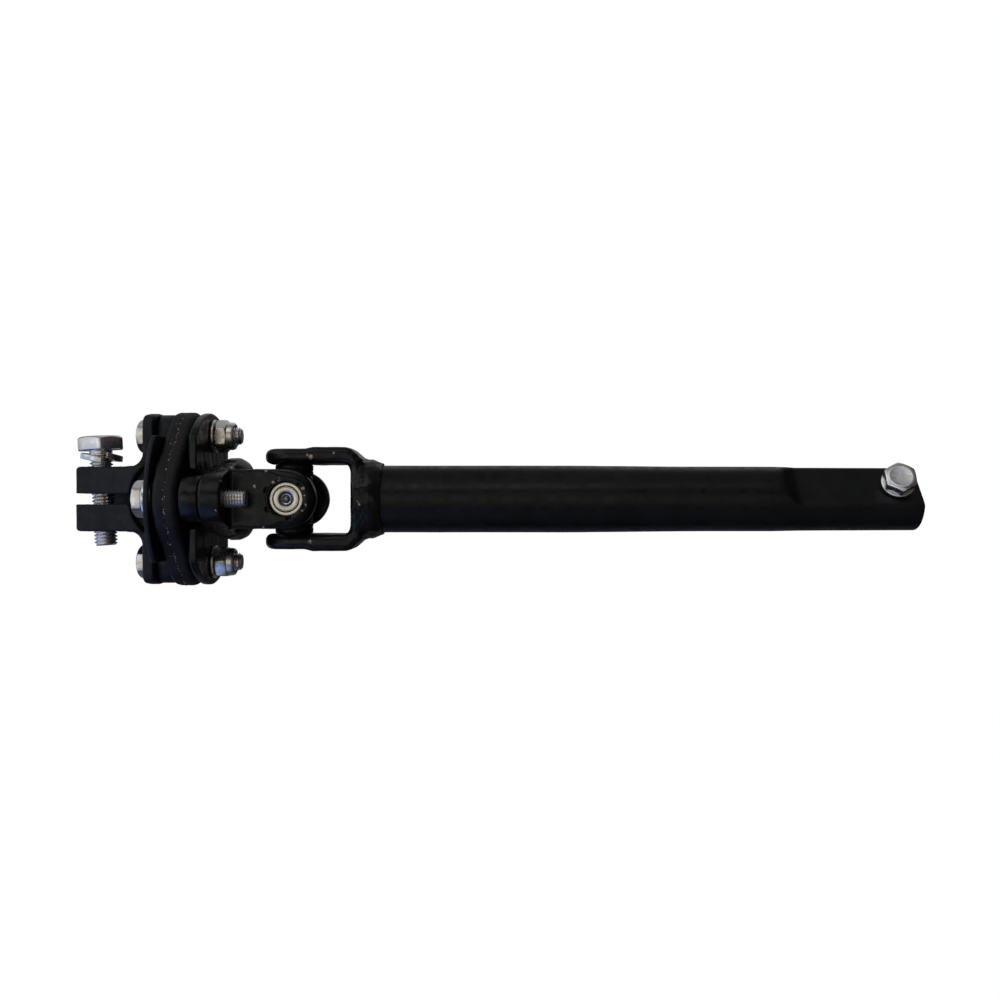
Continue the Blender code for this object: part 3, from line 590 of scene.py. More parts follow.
def ground_steel():
    """Tan bearing steel with turning rings, a dimple coloured dark blue-grey as painted reflection, a groove
    coloured near black as painted shade, and sides coloured near black as painted shade.

    The bare attribute holds the radius on a cup's face, and DARK_SIDE elsewhere.
    """
    material, tree, shader = start_material("bearing_steel_look")
    radius = add_node(tree, "Attribute", attribute_name="bare").outputs["Fac"]
    rings = add_node(tree, "Math", {0: radius, 1: 34.0}, operation="MULTIPLY").outputs[0]
    rings = add_node(tree, "Math", {0: rings}, operation="SINE").outputs[0]
    dimple = remap(tree, radius, 3.05, 3.45, 1.0, 0.0)
    groove = maths(tree, "MULTIPLY", remap(tree, radius, 5.38, 5.55), remap(tree, radius, 5.78, 5.95, 1.0, 0.0))
    side = remap(tree, radius, 7.42, 7.6)
    blotch = noise(tree, 500, 4.0, 0.65)
    colour = mix(tree, remap(tree, blotch, 0.35, 0.65), (0.78, 0.70, 0.56), (0.98, 0.93, 0.82))
    grime = remap(tree, noise(tree, 1900, 4.0, 0.7), 0.52, 0.68)
    colour = mix(tree, maths(tree, "MULTIPLY", grime, 0.5), colour, (0.22, 0.17, 0.12))
    # Painted reflection: the dimple is coloured dark blue-grey for the dark blue surroundings that the hollow
    # mirrors.
    colour = mix(tree, dimple, colour, (0.22, 0.25, 0.33))
    # Painted shade: the groove in the cup's face is coloured near black.
    colour = mix(tree, groove, colour, (0.03, 0.028, 0.025))
    # Painted shade: the cup's sides, down in the bore and behind the seal, are coloured near black.
    colour = mix(tree, side, colour, (0.045, 0.042, 0.04))
    gloss = remap(tree, blotch, 0.3, 0.7, 0.22, 0.36)
    gloss = maths(tree, "SUBTRACT", gloss, maths(tree, "MULTIPLY", dimple, 0.15))
    height = maths(tree, "ADD", noise(tree, 2400, 4.0, 0.7), maths(tree, "MULTIPLY", rings, 0.06))
    feed(tree, shader, colour=colour, rough=gloss, metal=0.85, normal=bump(tree, height, 0.00003, 0.7))
    return material


def corded_rubber():
    """Matt black rubber over cord: moulded unevenness, rubbed grey patches and cut cord ends."""
    material, tree, shader = start_material("coupling_rubber_look")
    broad = noise(tree, 110, 4.0, 0.6)
    colour = mix(tree, remap(tree, broad, 0.38, 0.68), (0.0085, 0.009, 0.010), (0.020, 0.020, 0.021))
    fleck = remap(tree, noise(tree, 1300, 3.0, 0.65), 0.69, 0.73)
    colour = mix(tree, maths(tree, "MULTIPLY", fleck, 0.28), colour, (0.30, 0.22, 0.19))
    gloss = remap(tree, broad, 0.3, 0.7, 0.48, 0.72)
    height = maths(tree, "ADD", noise(tree, 700, 4.0, 0.6), maths(tree, "MULTIPLY", broad, 0.6))
    feed(tree, shader, colour=colour, rough=gloss, specular=0.3, normal=bump(tree, height, 0.00012, 0.6))
    return material


def cord_ends():
    material, tree, shader = start_material("cord_ends_look")
    colour = mix(tree, remap(tree, noise(tree, 420, 2.0), 0.35, 0.65), (0.34, 0.24, 0.20), (0.50, 0.41, 0.36))
    feed(tree, shader, colour=colour, rough=0.8, specular=0.2,
         normal=bump(tree, noise(tree, 4000, 3.0), 0.00006, 0.8))
    return material


def seal_rubber():
    """Satin black seal, a little dusty, with fine moulding texture."""
    material, tree, shader = start_material("seal_rubber_look")
    dust = remap(tree, noise(tree, 500, 5.0, 0.7), 0.5, 0.75)
    colour = mix(tree, maths(tree, "MULTIPLY", dust, 0.35), (0.006, 0.006, 0.007), (0.05, 0.047, 0.043))
    gloss = remap(tree, dust, 0.0, 1.0, 0.42, 0.66)
    feed(tree, shader, colour=colour, rough=gloss, specular=0.35,
         normal=bump(tree, noise(tree, 1400, 4.0), 0.00005, 0.6))
    return material


def nylon():
    material, tree, shader = start_material("nylon_look")
    colour = mix(tree, noise(tree, 500, 3.0), (0.30, 0.29, 0.26), (0.52, 0.50, 0.45))
    feed(tree, shader, colour=colour, rough=remap(tree, noise(tree, 900), 0.3, 0.7, 0.4, 0.6),
         normal=bump(tree, noise(tree, 1800, 3.0), 0.00005, 0.5))
    return material


# Hub body.

def bolt_centre(where):
    places = {"top": (0, 0, BOLT_CIRCLE), "bottom": (0, 0, -BOLT_CIRCLE),
              "front": (0, -BOLT_CIRCLE, 0), "back": (0, BOLT_CIRCLE, 0)}
    return places[where]


def clamp_hub(paint):
    left, right, front = HUB_LOW.x, HUB_HIGH.x, HUB_LOW.y
    reach = HUB_HIGH.z
    corner = BLOCK_CORNER
    upper = arc((left + corner, BLOCK_HALF - corner), corner, 180, 90, 6)
    fillet = (EAR_LEFT - EAR_FILLET, BLOCK_HALF + EAR_FILLET)
    upper += arc(fillet, EAR_FILLET, -90, 0, 10) + [(EAR_LEFT, reach + 3), (right, reach + 3)]
    side = mirrored(upper)
    corner_y = EAR_HALF - EAR_CORNER
    lean = math.asin(corner_y / (EAR_CROWN - EAR_CORNER))
    corner_z = reach - EAR_CROWN + (EAR_CROWN - EAR_CORNER) * math.cos(lean)
    crown = math.degrees(lean)
    join = math.degrees(math.acos(EAR_HALF / BLOCK_HALF))
    end = arc((front + 1.2, BLOCK_HALF - 1.2), 1.2, 180, 90, 5) + [(-EAR_HALF, BLOCK_HALF)]
    end += arc((-corner_y, corner_z), EAR_CORNER, 180, 90 + crown, 12)
    end += arc((0, reach - EAR_CROWN), EAR_CROWN, 90 + crown, 90 - crown, 12)[1:-1]
    end += arc((corner_y, corner_z), EAR_CORNER, 90 - crown, 0, 12) + arc((0, 0), BLOCK_HALF, join, 0, 8)
    outline = mirrored(end)

    def field(x, y, z):
        body = rounded_common(outline_field(side, x, z), outline_field(outline, y, z), 1.1)
        body = rounded_cut(body, np.hypot(y, z) - HUB_BORE, 0.7)
        saw = np.maximum(np.hypot(x - SAW_CENTRE[0], y - SAW_CENTRE[1]) - SAW_RADIUS, np.abs(z) - SLIT / 2)
        body = rounded_cut(body, np.maximum(saw, y), 0.4)
        body = rounded_cut(body, np.hypot(x - PINCH_X, y - PINCH_Y) - PINCH_HOLE, 0.5)
        recess = rounded_common(np.hypot(x - RECESS_X, z) - RECESS_RADIUS, y - RECESS_Y, 0.6)
        body = rounded_cut(body, recess, 0.8)
        holes = np.hypot(y, np.abs(z) - BOLT_CIRCLE) - M8_HOLE
        body = rounded_cut(body, np.maximum(holes, EAR_LEFT - 4 - x), 0.4)
        return body + 0.05 * lumps(x, y, z, 9, 3)

    points, faces = surface(field, HUB_LOW, HUB_HIGH, 0.42)
    x, y, z = points.T
    bare = 0.7 * spots(x, y, z, [((left + 1, front, -13), 0.5), ((-70, front, 13.6), 0.35)])
    bare = np.maximum(bare, 0.55 * spots(x, y, z, [((PINCH_X, PINCH_Y, BLOCK_HALF), 6.5)]))
    add_piece("clamp_hub", (points, faces), paint, bare=bare)


def pinch_bolt(zinc):
    axis = np.array((math.sin(PINCH_LEAN), 0, -math.cos(PINCH_LEAN)))
    level = np.array((math.cos(PINCH_LEAN), 0, math.sin(PINCH_LEAN)))
    side = level * math.cos(PINCH_TURN) + np.cross(-axis, level) * math.sin(PINCH_TURN)
    rows = bolt_rows(-PINCH_HEAD_LOW, PINCH_HEAD_HEIGHT, PINCH_FLATS, -PINCH_END, PINCH_RADIUS,
                     PINCH_PITCH, -PINCH_HEAD_LOW + 2.0, 72)
    shape = turned(rows, 72, centre=(PINCH_X, PINCH_Y, 0), axis=axis, side=side)
    add_piece("pinch_bolt", shape, zinc, sharp=38)


def rounded_section(width, height, corner, steps=4):
    """Points round a rectangle with rounded corners, about its own middle."""
    points = []
    for cx, cy, start in ((1, 1, 0), (-1, 1, 90), (-1, -1, 180), (1, -1, 270)):
        middle = (cx * (width / 2 - corner), cy * (height / 2 - corner))
        points += arc(middle, corner, start, start + 90, steps)
    return points


def pinch_spring_washer(zinc):
    """Split ring, its ends bent apart, lying at a tilt round the bolt."""
    steps = 110
    start = SPRING_SPLIT + (math.tau - SPRING_TURN) / 2
    lean = SPRING_SHIFT - math.tan(PINCH_LEAN) * SPRING_MIDDLE
    section = rounded_section(SPRING_OUTER - SPRING_INNER, SPRING_THICKNESS, 0.35)
    middle = (SPRING_OUTER + SPRING_INNER) / 2
    points = []
    for i in range(steps + 1):
        share = i / steps
        angle = start + SPRING_TURN * share
        bend = SPRING_RISE * (1 - 2 * share) ** 3
        for across, height in section:
            u = (middle + across) * math.cos(angle)
            v = (middle + across) * math.sin(angle)
            w = bend + height
            x = u * math.cos(SPRING_TILT) + w * math.sin(SPRING_TILT)
            z = w * math.cos(SPRING_TILT) - u * math.sin(SPRING_TILT)
            points.append((PINCH_X + lean + x, PINCH_Y + v, SPRING_MIDDLE + z))
    count = len(section)
    faces = []
    for row in range(steps):
        for i in range(count):
            j = (i + 1) % count
            low, high = row * count, (row + 1) * count
            faces.append((low + i, high + i, high + j, low + j))
    faces.append(tuple(range(count)))
    faces.append(tuple(range(steps * count, (steps + 1) * count))[::-1])
    add_piece("pinch_spring_washer", (np.array(points), faces), zinc, sharp=50)


def nut_rows(left, right, flats, steps):
    """Rows round a lock nut: chamfered hexagon, domed collar, and the seat for the nylon ring."""
    angles = by_angle(steps)
    corner = hexagon(angles, flats)
    face = flats * 0.47
    hex_right = left + NUT_HEX
    collar = 6.25
    rise = math.tan(math.radians(30))
    rows = [(left, M8_HOLE), (left, face), (left + (corner - face) * rise + 0.1, corner - 0.02)]
    rows += [(left + (corner - face) * rise + 0.35, corner)]
    rows += [(hex_right - (corner - face) * rise - 0.45, corner)]
    for share in (0.75, 0.4, 0.0):
        radius = collar + (corner - collar) * share
        rows.append((hex_right - (radius - collar) * rise * share + (1 - share) * 0.15 - 0.15, radius))
    shoulder = right - 1.5
    rows.append((shoulder, collar - 0.05))
    for slope in (15, 35, 55, 75, 90):
        turn = math.radians(slope)
        rows.append((shoulder + 1.5 * math.sin(turn), collar - 0.05 - 0.95 * (1 - math.cos(turn))))
    rows += [(right - 0.1, 5.2), (right - 0.6, 5.15), (right - 0.8, M8_HOLE + 0.1)]
    return rows


def hub_fasteners(zinc, worn_zinc, paint, nylon_look):
    for where in ("top", "bottom"):
        centre = bolt_centre(where)
        low, high = span(f"hub_bolt_{where}")
        finish = {"top": zinc, "bottom": worn_zinc}[where]
        rows = bolt_rows(EAR_LEFT - GAP, HUB_HEAD, HUB_FLATS, high.x, M8_RADIUS, M8_PITCH, -38.0, 60)
        shape = turned(rows, 60, centre)
        add_piece(f"hub_bolt_{where}", shape, finish, sharp=38)
        low, high = span(f"hub_spacer_{where}")
        rows = ring_rows(low.x, high.x, M8_HOLE, high.y, 0.5)
        add_piece(f"hub_spacer_{where}", turned(rows, 96, centre, loop=True), paint, sharp=50)
        low, high = span(f"hub_bush_{where}")
        rows = ring_rows(low.x, high.x, M8_HOLE, high.y, 0.2)
        add_piece(f"hub_bush_{where}", turned(rows, 64, centre, loop=True), finish, sharp=50)
        low, high = span(f"hub_washer_{where}")
        rows = ring_rows(low.x, high.x, M8_HOLE, high.y, 0.3)
        add_piece(f"hub_washer_{where}", turned(rows, 96, centre, loop=True), finish, sharp=50)
        low, high = span(f"hub_nut_{where}")
        turn = NUT_TURNS[where]
        side = np.array((0, math.cos(turn), math.sin(turn)))
        shape = turned(nut_rows(low.x, high.x, HUB_FLATS, 120), 120, centre, side=side, loop=True)
        add_piece(f"hub_nut_{where}", shape, finish, sharp=38)
        low, high = span(f"nut_insert_{where}")
        rows = ring_rows(low.x, high.x, 4.3, 5.1, 0.15)
        add_piece(f"nut_insert_{where}", turned(rows, 64, centre, loop=True), nylon_look, sharp=50)


def rear_stop_bar(paint):
    """Bar behind the disc, its edge towards the disc well rounded."""
    corner = math.degrees(math.acos(BAR_HALF_WIDTH / BAR_RADIUS))
    reach = math.degrees(math.acos((BOLT_CIRCLE - BAR_HALF_WIDTH) / BAR_NOTCH))
    outline = arc((BOLT_CIRCLE, 0), BAR_NOTCH, 180 + reach, 180 - reach, 16)
    outline += arc((0, 0), BAR_RADIUS, corner, 180 - corner, 40)
    outline += [(-y, -z) for y, z in outline]

    def field(x, y, z):
        flat = outline_field(outline, y, z)
        flat = rounded_common(flat, np.hypot(y, z) - BAR_RADIUS, 0.5)
        flat = rounded_common(flat, np.abs(y) - BAR_HALF_WIDTH, 1.2)
        body = rounded_common(flat, BAR_LOW.x - x, 1.5)
        body = rounded_common(body, x - BAR_HIGH.x, 0.6)
        holes = np.hypot(y, np.abs(z) - BOLT_CIRCLE) - M8_HOLE
        return rounded_cut(body, holes, 0.4) + 0.04 * lumps(x, y, z, 8, 5)

    points, faces = surface(field, BAR_LOW, BAR_HIGH, 0.38)
    add_piece("rear_stop_bar", (points, faces), paint, bare=np.zeros(len(points)))


# Disc body.

def coupling_disc(rubber, cord):
    """Four-lobed disc of two corded rubber plies, with a faint groove round the rim between them."""
    middle = (DISC_LOW.x + DISC_HIGH.x) / 2

    def lobed(y, z):
        angle = np.arctan2(z, y)
        return np.hypot(y, z) - DISC_RADIUS - DISC_LOBE * np.cos(4 * angle)

    def field(x, y, z):
        body = rounded_common(lobed(y, z), slab(x, DISC_LOW.x, DISC_HIGH.x), DISC_ROUND)
        across = (x - middle - 0.35 * lumps(x * 0, y, z, 14, 8)) / 0.5
        body = body + 0.16 * np.exp(-(across**2))
        body = rounded_cut(body, np.hypot(y, z) - DISC_BORE, 0.8)
        hole = np.minimum(np.hypot(y, np.abs(z) - BOLT_CIRCLE), np.hypot(np.abs(y) - BOLT_CIRCLE, z))
        body = rounded_cut(body, hole - 6.2 - BUSH_PLAY, 0.4)
        return body + 0.09 * lumps(x, y, z, 6, 7) + 0.03 * lumps(x, y, z, 1.6, 9)

    points, faces = surface(field, DISC_LOW, DISC_HIGH, 0.42)
    add_piece("coupling_disc", (points, faces), rubber)

    random = np.random.default_rng(21)
    verts, tris = [], []
    for _ in range(190):
        angle = random.uniform(0, math.tau)
        near = random.random() < 0.62
        off = random.normal(0, 0.25) if near else random.uniform(-3.4, 3.4)
        inset = max(0.0, abs(off) - 2.6) * 0.45
        rim = DISC_RADIUS + DISC_LOBE * math.cos(4 * angle) - 0.12 - inset
        size = random.uniform(0.18, 0.38) if near else random.uniform(0.12, 0.36)
        stretch = random.uniform(0.8, 1.8)
        place = np.array((middle + off, rim * math.cos(angle), rim * math.sin(angle)))
        tangent = np.array((0, -math.sin(angle), math.cos(angle)))
        out = np.array((0, math.cos(angle), math.sin(angle)))
        base = len(verts)
        ring = []
        for i in range(7):
            turn = math.tau * i / 7
            wobble = size * random.uniform(0.75, 1.25)
            ring.append(place + X_AXIS * wobble * math.cos(turn) + tangent * wobble * stretch * math.sin(turn))
        verts += [p - out * 0.12 for p in ring]
        verts += [place + (p - place) * 0.75 + out * size * 0.35 for p in ring]
        verts.append(place + out * size * 0.5)
        for i in range(7):
            j = (i + 1) % 7
            tris.append((base + i, base + j, base + 7 + j, base + 7 + i))
            tris.append((base + 7 + i, base + 7 + j, base + 14))
        tris.append(tuple(base + i for i in reversed(range(7))))
    add_piece("coupling_disc", (np.array(verts), tris), cord, suffix="cord_ends",
              stands=False)


# Flange yoke body.

def front_stop_plate(paint):
    half = PLATE_HIGH.z
    corner = math.degrees(math.asin(half / PLATE_RADIUS))
    reach = math.degrees(math.asin((BOLT_CIRCLE - half) / PLATE_NOTCH))
    outline = arc((0, 0), PLATE_RADIUS, -corner, corner, 48)
    outline += arc((0, BOLT_CIRCLE), PLATE_NOTCH, -reach, -180 + reach, 20)
    outline += [(-y, -z) for y, z in outline]

    def field(x, y, z):
        flat = rounded_common(outline_field(outline, y, z), np.abs(z) - half, 1.2)
        body = rounded_common(flat, slab(x, PLATE_LOW.x, PLATE_HIGH.x), 0.6)
        body = rounded_cut(body, np.hypot(y, z) - DISC_BORE, 0.4)
        holes = np.hypot(np.abs(y) - BOLT_CIRCLE, z) - M8_HOLE
        return rounded_cut(body, holes, 0.3) + 0.03 * lumps(x, y, z, 9, 4)

    points, faces = surface(field, PLATE_LOW, PLATE_HIGH, 0.34)
    add_piece("front_stop_plate", (points, faces), paint, bare=np.zeros(len(points)))


def yoke_fasteners(zinc, paint):
    for where in ("front", "back"):
        centre = bolt_centre(where)
        low, high = span(f"yoke_bolt_{where}")
        under = low.x + YOKE_HEAD
        rows = bolt_rows(under, YOKE_HEAD, YOKE_FLATS, high.x, M8_RADIUS, M8_PITCH, -30.0, 60)
        add_piece(f"yoke_bolt_{where}", turned(rows, 60, centre), zinc, sharp=38)
        low, high = span(f"yoke_washer_{where}")
        rows = ring_rows(low.x, high.x, M8_HOLE, high.z, 0.3)
        add_piece(f"yoke_washer_{where}", turned(rows, 96, centre, loop=True), zinc, sharp=50)
        low, high = span(f"yoke_bush_{where}")
        rows = ring_rows(low.x, high.x, M8_HOLE, high.z, 0.2)
        add_piece(f"yoke_bush_{where}", turned(rows, 64, centre, loop=True), zinc, sharp=50)
        low, high = span(f"yoke_spacer_{where}")
        rows = ring_rows(low.x, high.x, M8_HOLE, high.z, 0.7)
        add_piece(f"yoke_spacer_{where}", turned(rows, 120, centre, loop=True), paint, sharp=50)


# Attribute value off a cup's face, which the steel colours near black as painted shade on the cups' sides; the cross
# takes it too.
DARK_SIDE = 9.0
STAKES = tuple(math.radians(a) for a in (107, 42, -23, 155, 212, 283))
STAKE_RADIUS = 8.7


def staked(body, u, v, depth):
    """Body with the punch marks that hold the cup, round its bore. depth is the distance below the face."""
    for angle in STAKES:
        across = (u - STAKE_RADIUS * math.cos(angle)) * -math.sin(angle)
        across = across + (v - STAKE_RADIUS * math.sin(angle)) * math.cos(angle)
        along = (u - STAKE_RADIUS * math.cos(angle)) * math.cos(angle)
        along = along + (v - STAKE_RADIUS * math.sin(angle)) * math.sin(angle)
        dent = np.sqrt((across / 1.25) ** 2 + (along / 0.8) ** 2 + (depth / 1.1) ** 2) - 1
        body = rounded_cut(body, dent * 0.8, 0.25)
    return body


def flange_yoke(paint):
    left = FLANGE_LOW.x
    touch = math.degrees(math.acos((FLANGE_HUB - BOSS_RADIUS) / BOLT_CIRCLE))
    oval = arc((0, 0), FLANGE_HUB, touch, 180 - touch, 14)
    oval += arc((-BOLT_CIRCLE, 0), BOSS_RADIUS, 180 - touch, 180 + touch, 32)
    oval += arc((0, 0), FLANGE_HUB, 180 + touch, 360 - touch, 14)
    oval += arc((BOLT_CIRCLE, 0), BOSS_RADIUS, -touch, touch, 32)
    depth = DOME_RIGHT - DOME_LEFT
    dome = [(-28.0, 0), (DOME_RIGHT, 0)]
    dome += arc((DOME_LEFT, FLANGE_HUB - depth), depth, 0, 90, 10) + [(-28.0, FLANGE_HUB)]
    arm_outline = [(-28.0, FLANGE_ARM_HALF), (-28.0, -FLANGE_ARM_HALF)]
    arm_outline += arc((0, 0), FLANGE_ARM_HALF, -90, 90, 40)

    def field(x, y, z):
        flange = rounded_common(outline_field(oval, y, z), slab(x, left, FLANGE_RIGHT), 1.4)
        body = rounded_union(flange, outline_field(dome, x, np.hypot(y, z)), 1.5)
        profile = outline_field(arm_outline, x, z)
        across = slab(np.abs(y), ARM_INNER, ARM_OUTER)
        arm = rounded_common(profile, across, 0.7)
        bevel = TIP_BEVEL * smooth_step(x, -9, 1)
        arm = rounded_common(arm, (profile + np.abs(y) - ARM_OUTER + bevel) / math.sqrt(2), 1.2)
        body = rounded_union(body, arm, 1.6)
        body = rounded_cut(body, np.hypot(x, z) - CUP_BORE, 0.35)
        holes = np.maximum(np.hypot(np.abs(y) - BOLT_CIRCLE, z) - M8_HOLE, x + 18)
        body = rounded_cut(body, holes, 0.4)
        body = staked(body, x, z, np.abs(y) - ARM_OUTER)
        return body + 0.06 * lumps(x, y, z, 7, 11)

    points, faces = surface(field, FLANGE_LOW, FLANGE_HIGH, 0.4)
    x, y, z = points.T
    chips = [((STAKE_RADIUS * math.cos(STAKES[0]), -ARM_OUTER, STAKE_RADIUS * math.sin(STAKES[0])), 1.0),
             ((STAKE_RADIUS * math.cos(STAKES[0]) - 2.2, -ARM_OUTER, STAKE_RADIUS * math.sin(STAKES[0]) - 1.2), 0.7),
             ((7.9, -ARM_OUTER, 4.6), 0.7), ((8.6, -ARM_OUTER, 1.4), 0.4), ((7.6, -ARM_OUTER, -4.9), 0.5),
             ((8.9, -ARM_OUTER, -2.6), 0.6), ((-12.8, -ARM_OUTER, 5.3), 0.7), ((-24.3, -36.0, 7.3), 0.7),
             ((-25.5, -38.5, -4.5), 0.5), ((-9.0, -ARM_OUTER, -12.2), 0.5), ((-7.9, -ARM_OUTER, 12.2), 0.6)]
    add_piece("flange_yoke", (points, faces), paint, bare=spots(x, y, z, chips))


def cup_rows():
    """Rows of a bearing cup: hollow inside, and a face with a rim, a groove and a dimple with a ball."""
    rows = [(18.4, 0.3), (18.4, 6.0), (18.2, 6.2), (11.9, 6.2), (11.8, 6.3), (11.8, 7.4), (11.9, 7.5)]
    rows += [(18.8, 7.5), (19.45, 7.5), (19.8, 7.38), (19.97, 7.1), (20.0, 6.8), (20.0, 5.95), (19.86, 5.85)]
    rows += [(19.55, 5.75), (19.55, 5.62), (19.88, 5.52), (19.96, 5.4), (19.96, 3.5), (19.85, 3.3)]
    rows += [(19.5, 2.95), (19.0, 2.3), (18.75, 1.7), (18.7, 1.4), (18.95, 1.2), (19.2, 0.95)]
    rows += [(19.34, 0.6), (19.38, 0.2)]
    return rows


def bearing(where, axis, side, steel, rubber):
    """Cup and seal on one trunnion. The cup's attribute is its radius, which draws the turning rings."""
    rows = cup_rows()
    shape = turned(rows, 96, axis=axis, side=side)
    # Rows off the face get the value that the steel colours near black, as painted shade on the cup's sides.
    radii = np.repeat([radius if distance > 18.9 else DARK_SIDE for distance, radius in rows], 96)
    add_piece(f"bearing_cup_{where}", shape, steel, sharp=50, bare=radii)
    rows = [(10.6, 4.7), (10.6, 7.9), (10.7, 8.2), (11.0, 8.42), (12.2, 8.42), (12.45, 8.2), (12.7, 8.2)]
    rows += [(12.95, 8.42), (14.7, 8.42), (15.05, 8.3), (15.2, 8.1), (15.2, 7.75), (11.6, 7.75)]
    rows += [(11.5, 7.6), (11.5, 4.7)]
    shape = turned(rows, 96, axis=axis, side=side, loop=True)
    add_piece(f"cup_seal_{where}", shape, rubber, sharp=50)


def cross(steel):
    """Forged cross: two stepped pins with a fillet where they meet."""
    low, high = span("cross")

    def pin(along, across):
        body = rounded_common(across - 8.0, np.abs(along) - 10.2, 0.8)
        return rounded_union(body, rounded_common(across - 4.3, np.abs(along) - high.z, 0.5), 0.5)

    def field(x, y, z):
        return rounded_union(pin(y, np.hypot(x, z)), pin(z, np.hypot(x, y)), 2.0)

    points, faces = surface(field, low, high, 0.4)
    add_piece("cross", (points, faces), steel, bare=np.full(len(points), DARK_SIDE))


# Tube body.

def tube_yoke(paint):
    """Two arms bent from a round base, with the weld round its neck."""
    tip = YOKE_LOW.x - 3
    upper = [(tip, ARM_INNER), (tip, TUBE_ARM_OUTER), (6.5, TUBE_ARM_OUTER), (10.0, ARM_SWELL)]
    upper += arc(BEND_CENTRE, BEND_RADIUS, 90, 45, 10) + [(BEND_END, BASE_RADIUS - 0.4)]
    inner = [(WINDOW_RIGHT, 0)]
    inner += arc((WINDOW_RIGHT - WINDOW_FILLET, ARM_INNER - WINDOW_FILLET), WINDOW_FILLET, 0, 90, 10)
    outline = upper[::-1] + inner[:0:-1] + [(x, -z) for x, z in inner[1:]] + [(x, -z) for x, z in upper]
    lathe = [(BASE_LEFT, 0), (BASE_LEFT, BASE_RADIUS - 1.2), (BASE_LEFT + 1.2, BASE_RADIUS)]
    lathe += [(NECK_RIGHT - 1.2, BASE_RADIUS), (YOKE_HIGH.x, WELD_RADIUS), (YOKE_HIGH.x, 0)]

    def field(x, y, z):
        profile = outline_field(outline, x, z)
        plan = np.hypot(np.minimum(x, 0), y) - TUBE_ARM_HALF
        arms = rounded_common(profile, plan, 2.9)
        away = np.hypot(y, z)
        base = outline_field(lathe, x, away)
        base = rounded_common(base, away - BASE_RADIUS, 1.0)
        body = rounded_union(arms, base, 2.6)
        weld = smooth_step(x, 30, 35) * (1 - smooth_step(x, 40, 41.5))
        body = body + 0.12 * weld * lumps(x, y, z, 5.0, 15)
        front = smooth_step(-y, 4, 12) * smooth_step(x, 26.5, 28) * (1 - smooth_step(x, 33, 36))
        body = body + 0.13 * front * lumps(x, y, z, 3.0, 16)
        body = rounded_cut(body, np.maximum(away - SOCKET_RADIUS, SOCKET_LEFT - x), 0.4)
        body = rounded_cut(body, np.hypot(x, y) - CUP_BORE, 0.35)
        body = staked(body, x, y, np.abs(z) - TUBE_ARM_OUTER)
        return body + 0.07 * lumps(x, y, z, 8, 17)

    points, faces = surface(field, YOKE_LOW, YOKE_HIGH, 0.42)
    x, y, z = points.T
    chips = [((9.5, -TUBE_ARM_HALF, 18.6), 0.9), ((8.0, -TUBE_ARM_HALF, 19.4), 0.6),
             ((9.2, -TUBE_ARM_HALF, -18.8), 0.8), ((31.2, -17.6, -2.3), 0.6), ((29.7, -17.0, 0.6), 0.5),
             ((30.6, -17.3, -0.9), 0.5), ((19.5, -TUBE_ARM_HALF, 20.2), 0.5)]
    add_piece("tube_yoke", (points, faces), paint, bare=spots(x, y, z, chips))


def shaft_tube(paint):
    """Tube skinned along its outside, round the end and back along its inside."""
    steps = 192
    angles = by_angle(steps)
    facing = math.atan2(FLAT_NORMAL[2], FLAT_NORMAL[1])
    lean = np.cos(angles - facing)
    places, radii = zip(*TUBE_RADII)

    def row(x, inset):
        radius = np.interp(x, places, radii) - inset
        ease = float(smooth_step(x, FLAT_START, FLAT_FULL))
        flat = TUBE_LEFT_RADIUS + (FLAT_DISTANCE - TUBE_LEFT_RADIUS) * ease - inset
        cut = np.where(lean > 0.1, flat / np.maximum(lean, 0.1), 99.0)
        near = np.clip(1 - np.abs(cut - radius) / FLAT_CORNER, 0, 1)
        return x, np.minimum(cut, radius) - FLAT_CORNER / 4 * near * near

    end = TUBE_HIGH.x
    along = list(np.linspace(TUBE_LOW.x, FLAT_START, 40)) + list(np.linspace(FLAT_START, FLAT_FULL, 26))[1:]
    along += list(np.linspace(FLAT_FULL, end - 0.9, 16))[1:]
    rows = [row(x, 0) for x in along]
    for slope in (20, 45, 70, 90):
        turn = math.radians(slope)
        rows.append((end - 0.9 + 0.9 * math.sin(turn), row(end, 0.7 * (1 - math.cos(turn)))[1]))
    rows.append((end, row(end, TUBE_WALL - 0.5)[1]))
    rows.append((end - 0.5, row(end, TUBE_WALL)[1]))
    rows += [row(x, TUBE_WALL) for x in reversed(along[:-1])]
    points, faces = turned(rows, steps, loop=True)
    x, y, z = points.T
    hollow = 0.03 * lumps(x, y, z, 22, 18)
    away = np.hypot(y, z)
    points[:, 1] += y / away * hollow
    points[:, 2] += z / away * hollow
    edge = [((258 + 2.2 * i, -14.0, 0.6 - 0.25 * i), 0.35) for i in range(6)]
    add_piece("shaft_tube", (points, faces), paint, sharp=50, bare=0.9 * spots(x, y, z, edge))


def tube_bolt(zinc):
    """Bolt leaning above the flat, with the washer under its head."""
    centre = np.array((TUBE_BOLT_X, 0, 0)) + FLAT_NORMAL * FLAT_DISTANCE
    rows = bolt_rows(-TUBE_BOLT_UNDER, TUBE_BOLT_HEAD, HUB_FLATS, TUBE_BOLT_DEPTH, M8_RADIUS, M8_PITCH,
                     -TUBE_BOLT_UNDER + 0.8, 60)
    shape = turned(rows, 60, centre=centre, axis=-TUBE_BOLT_AXIS, side=TUBE_BOLT_SIDE)
    add_piece("tube_bolt", shape, zinc, sharp=38)
    high = TUBE_BOLT_UNDER - GAP
    rows = ring_rows(high - 1.4, high, M8_HOLE, 7.4, 0.3)
    shape = turned(rows, 96, centre=centre, axis=TUBE_BOLT_AXIS, side=TUBE_BOLT_SIDE, loop=True)
    add_piece("tube_bolt_washer", shape, zinc, sharp=50)


# Stage.

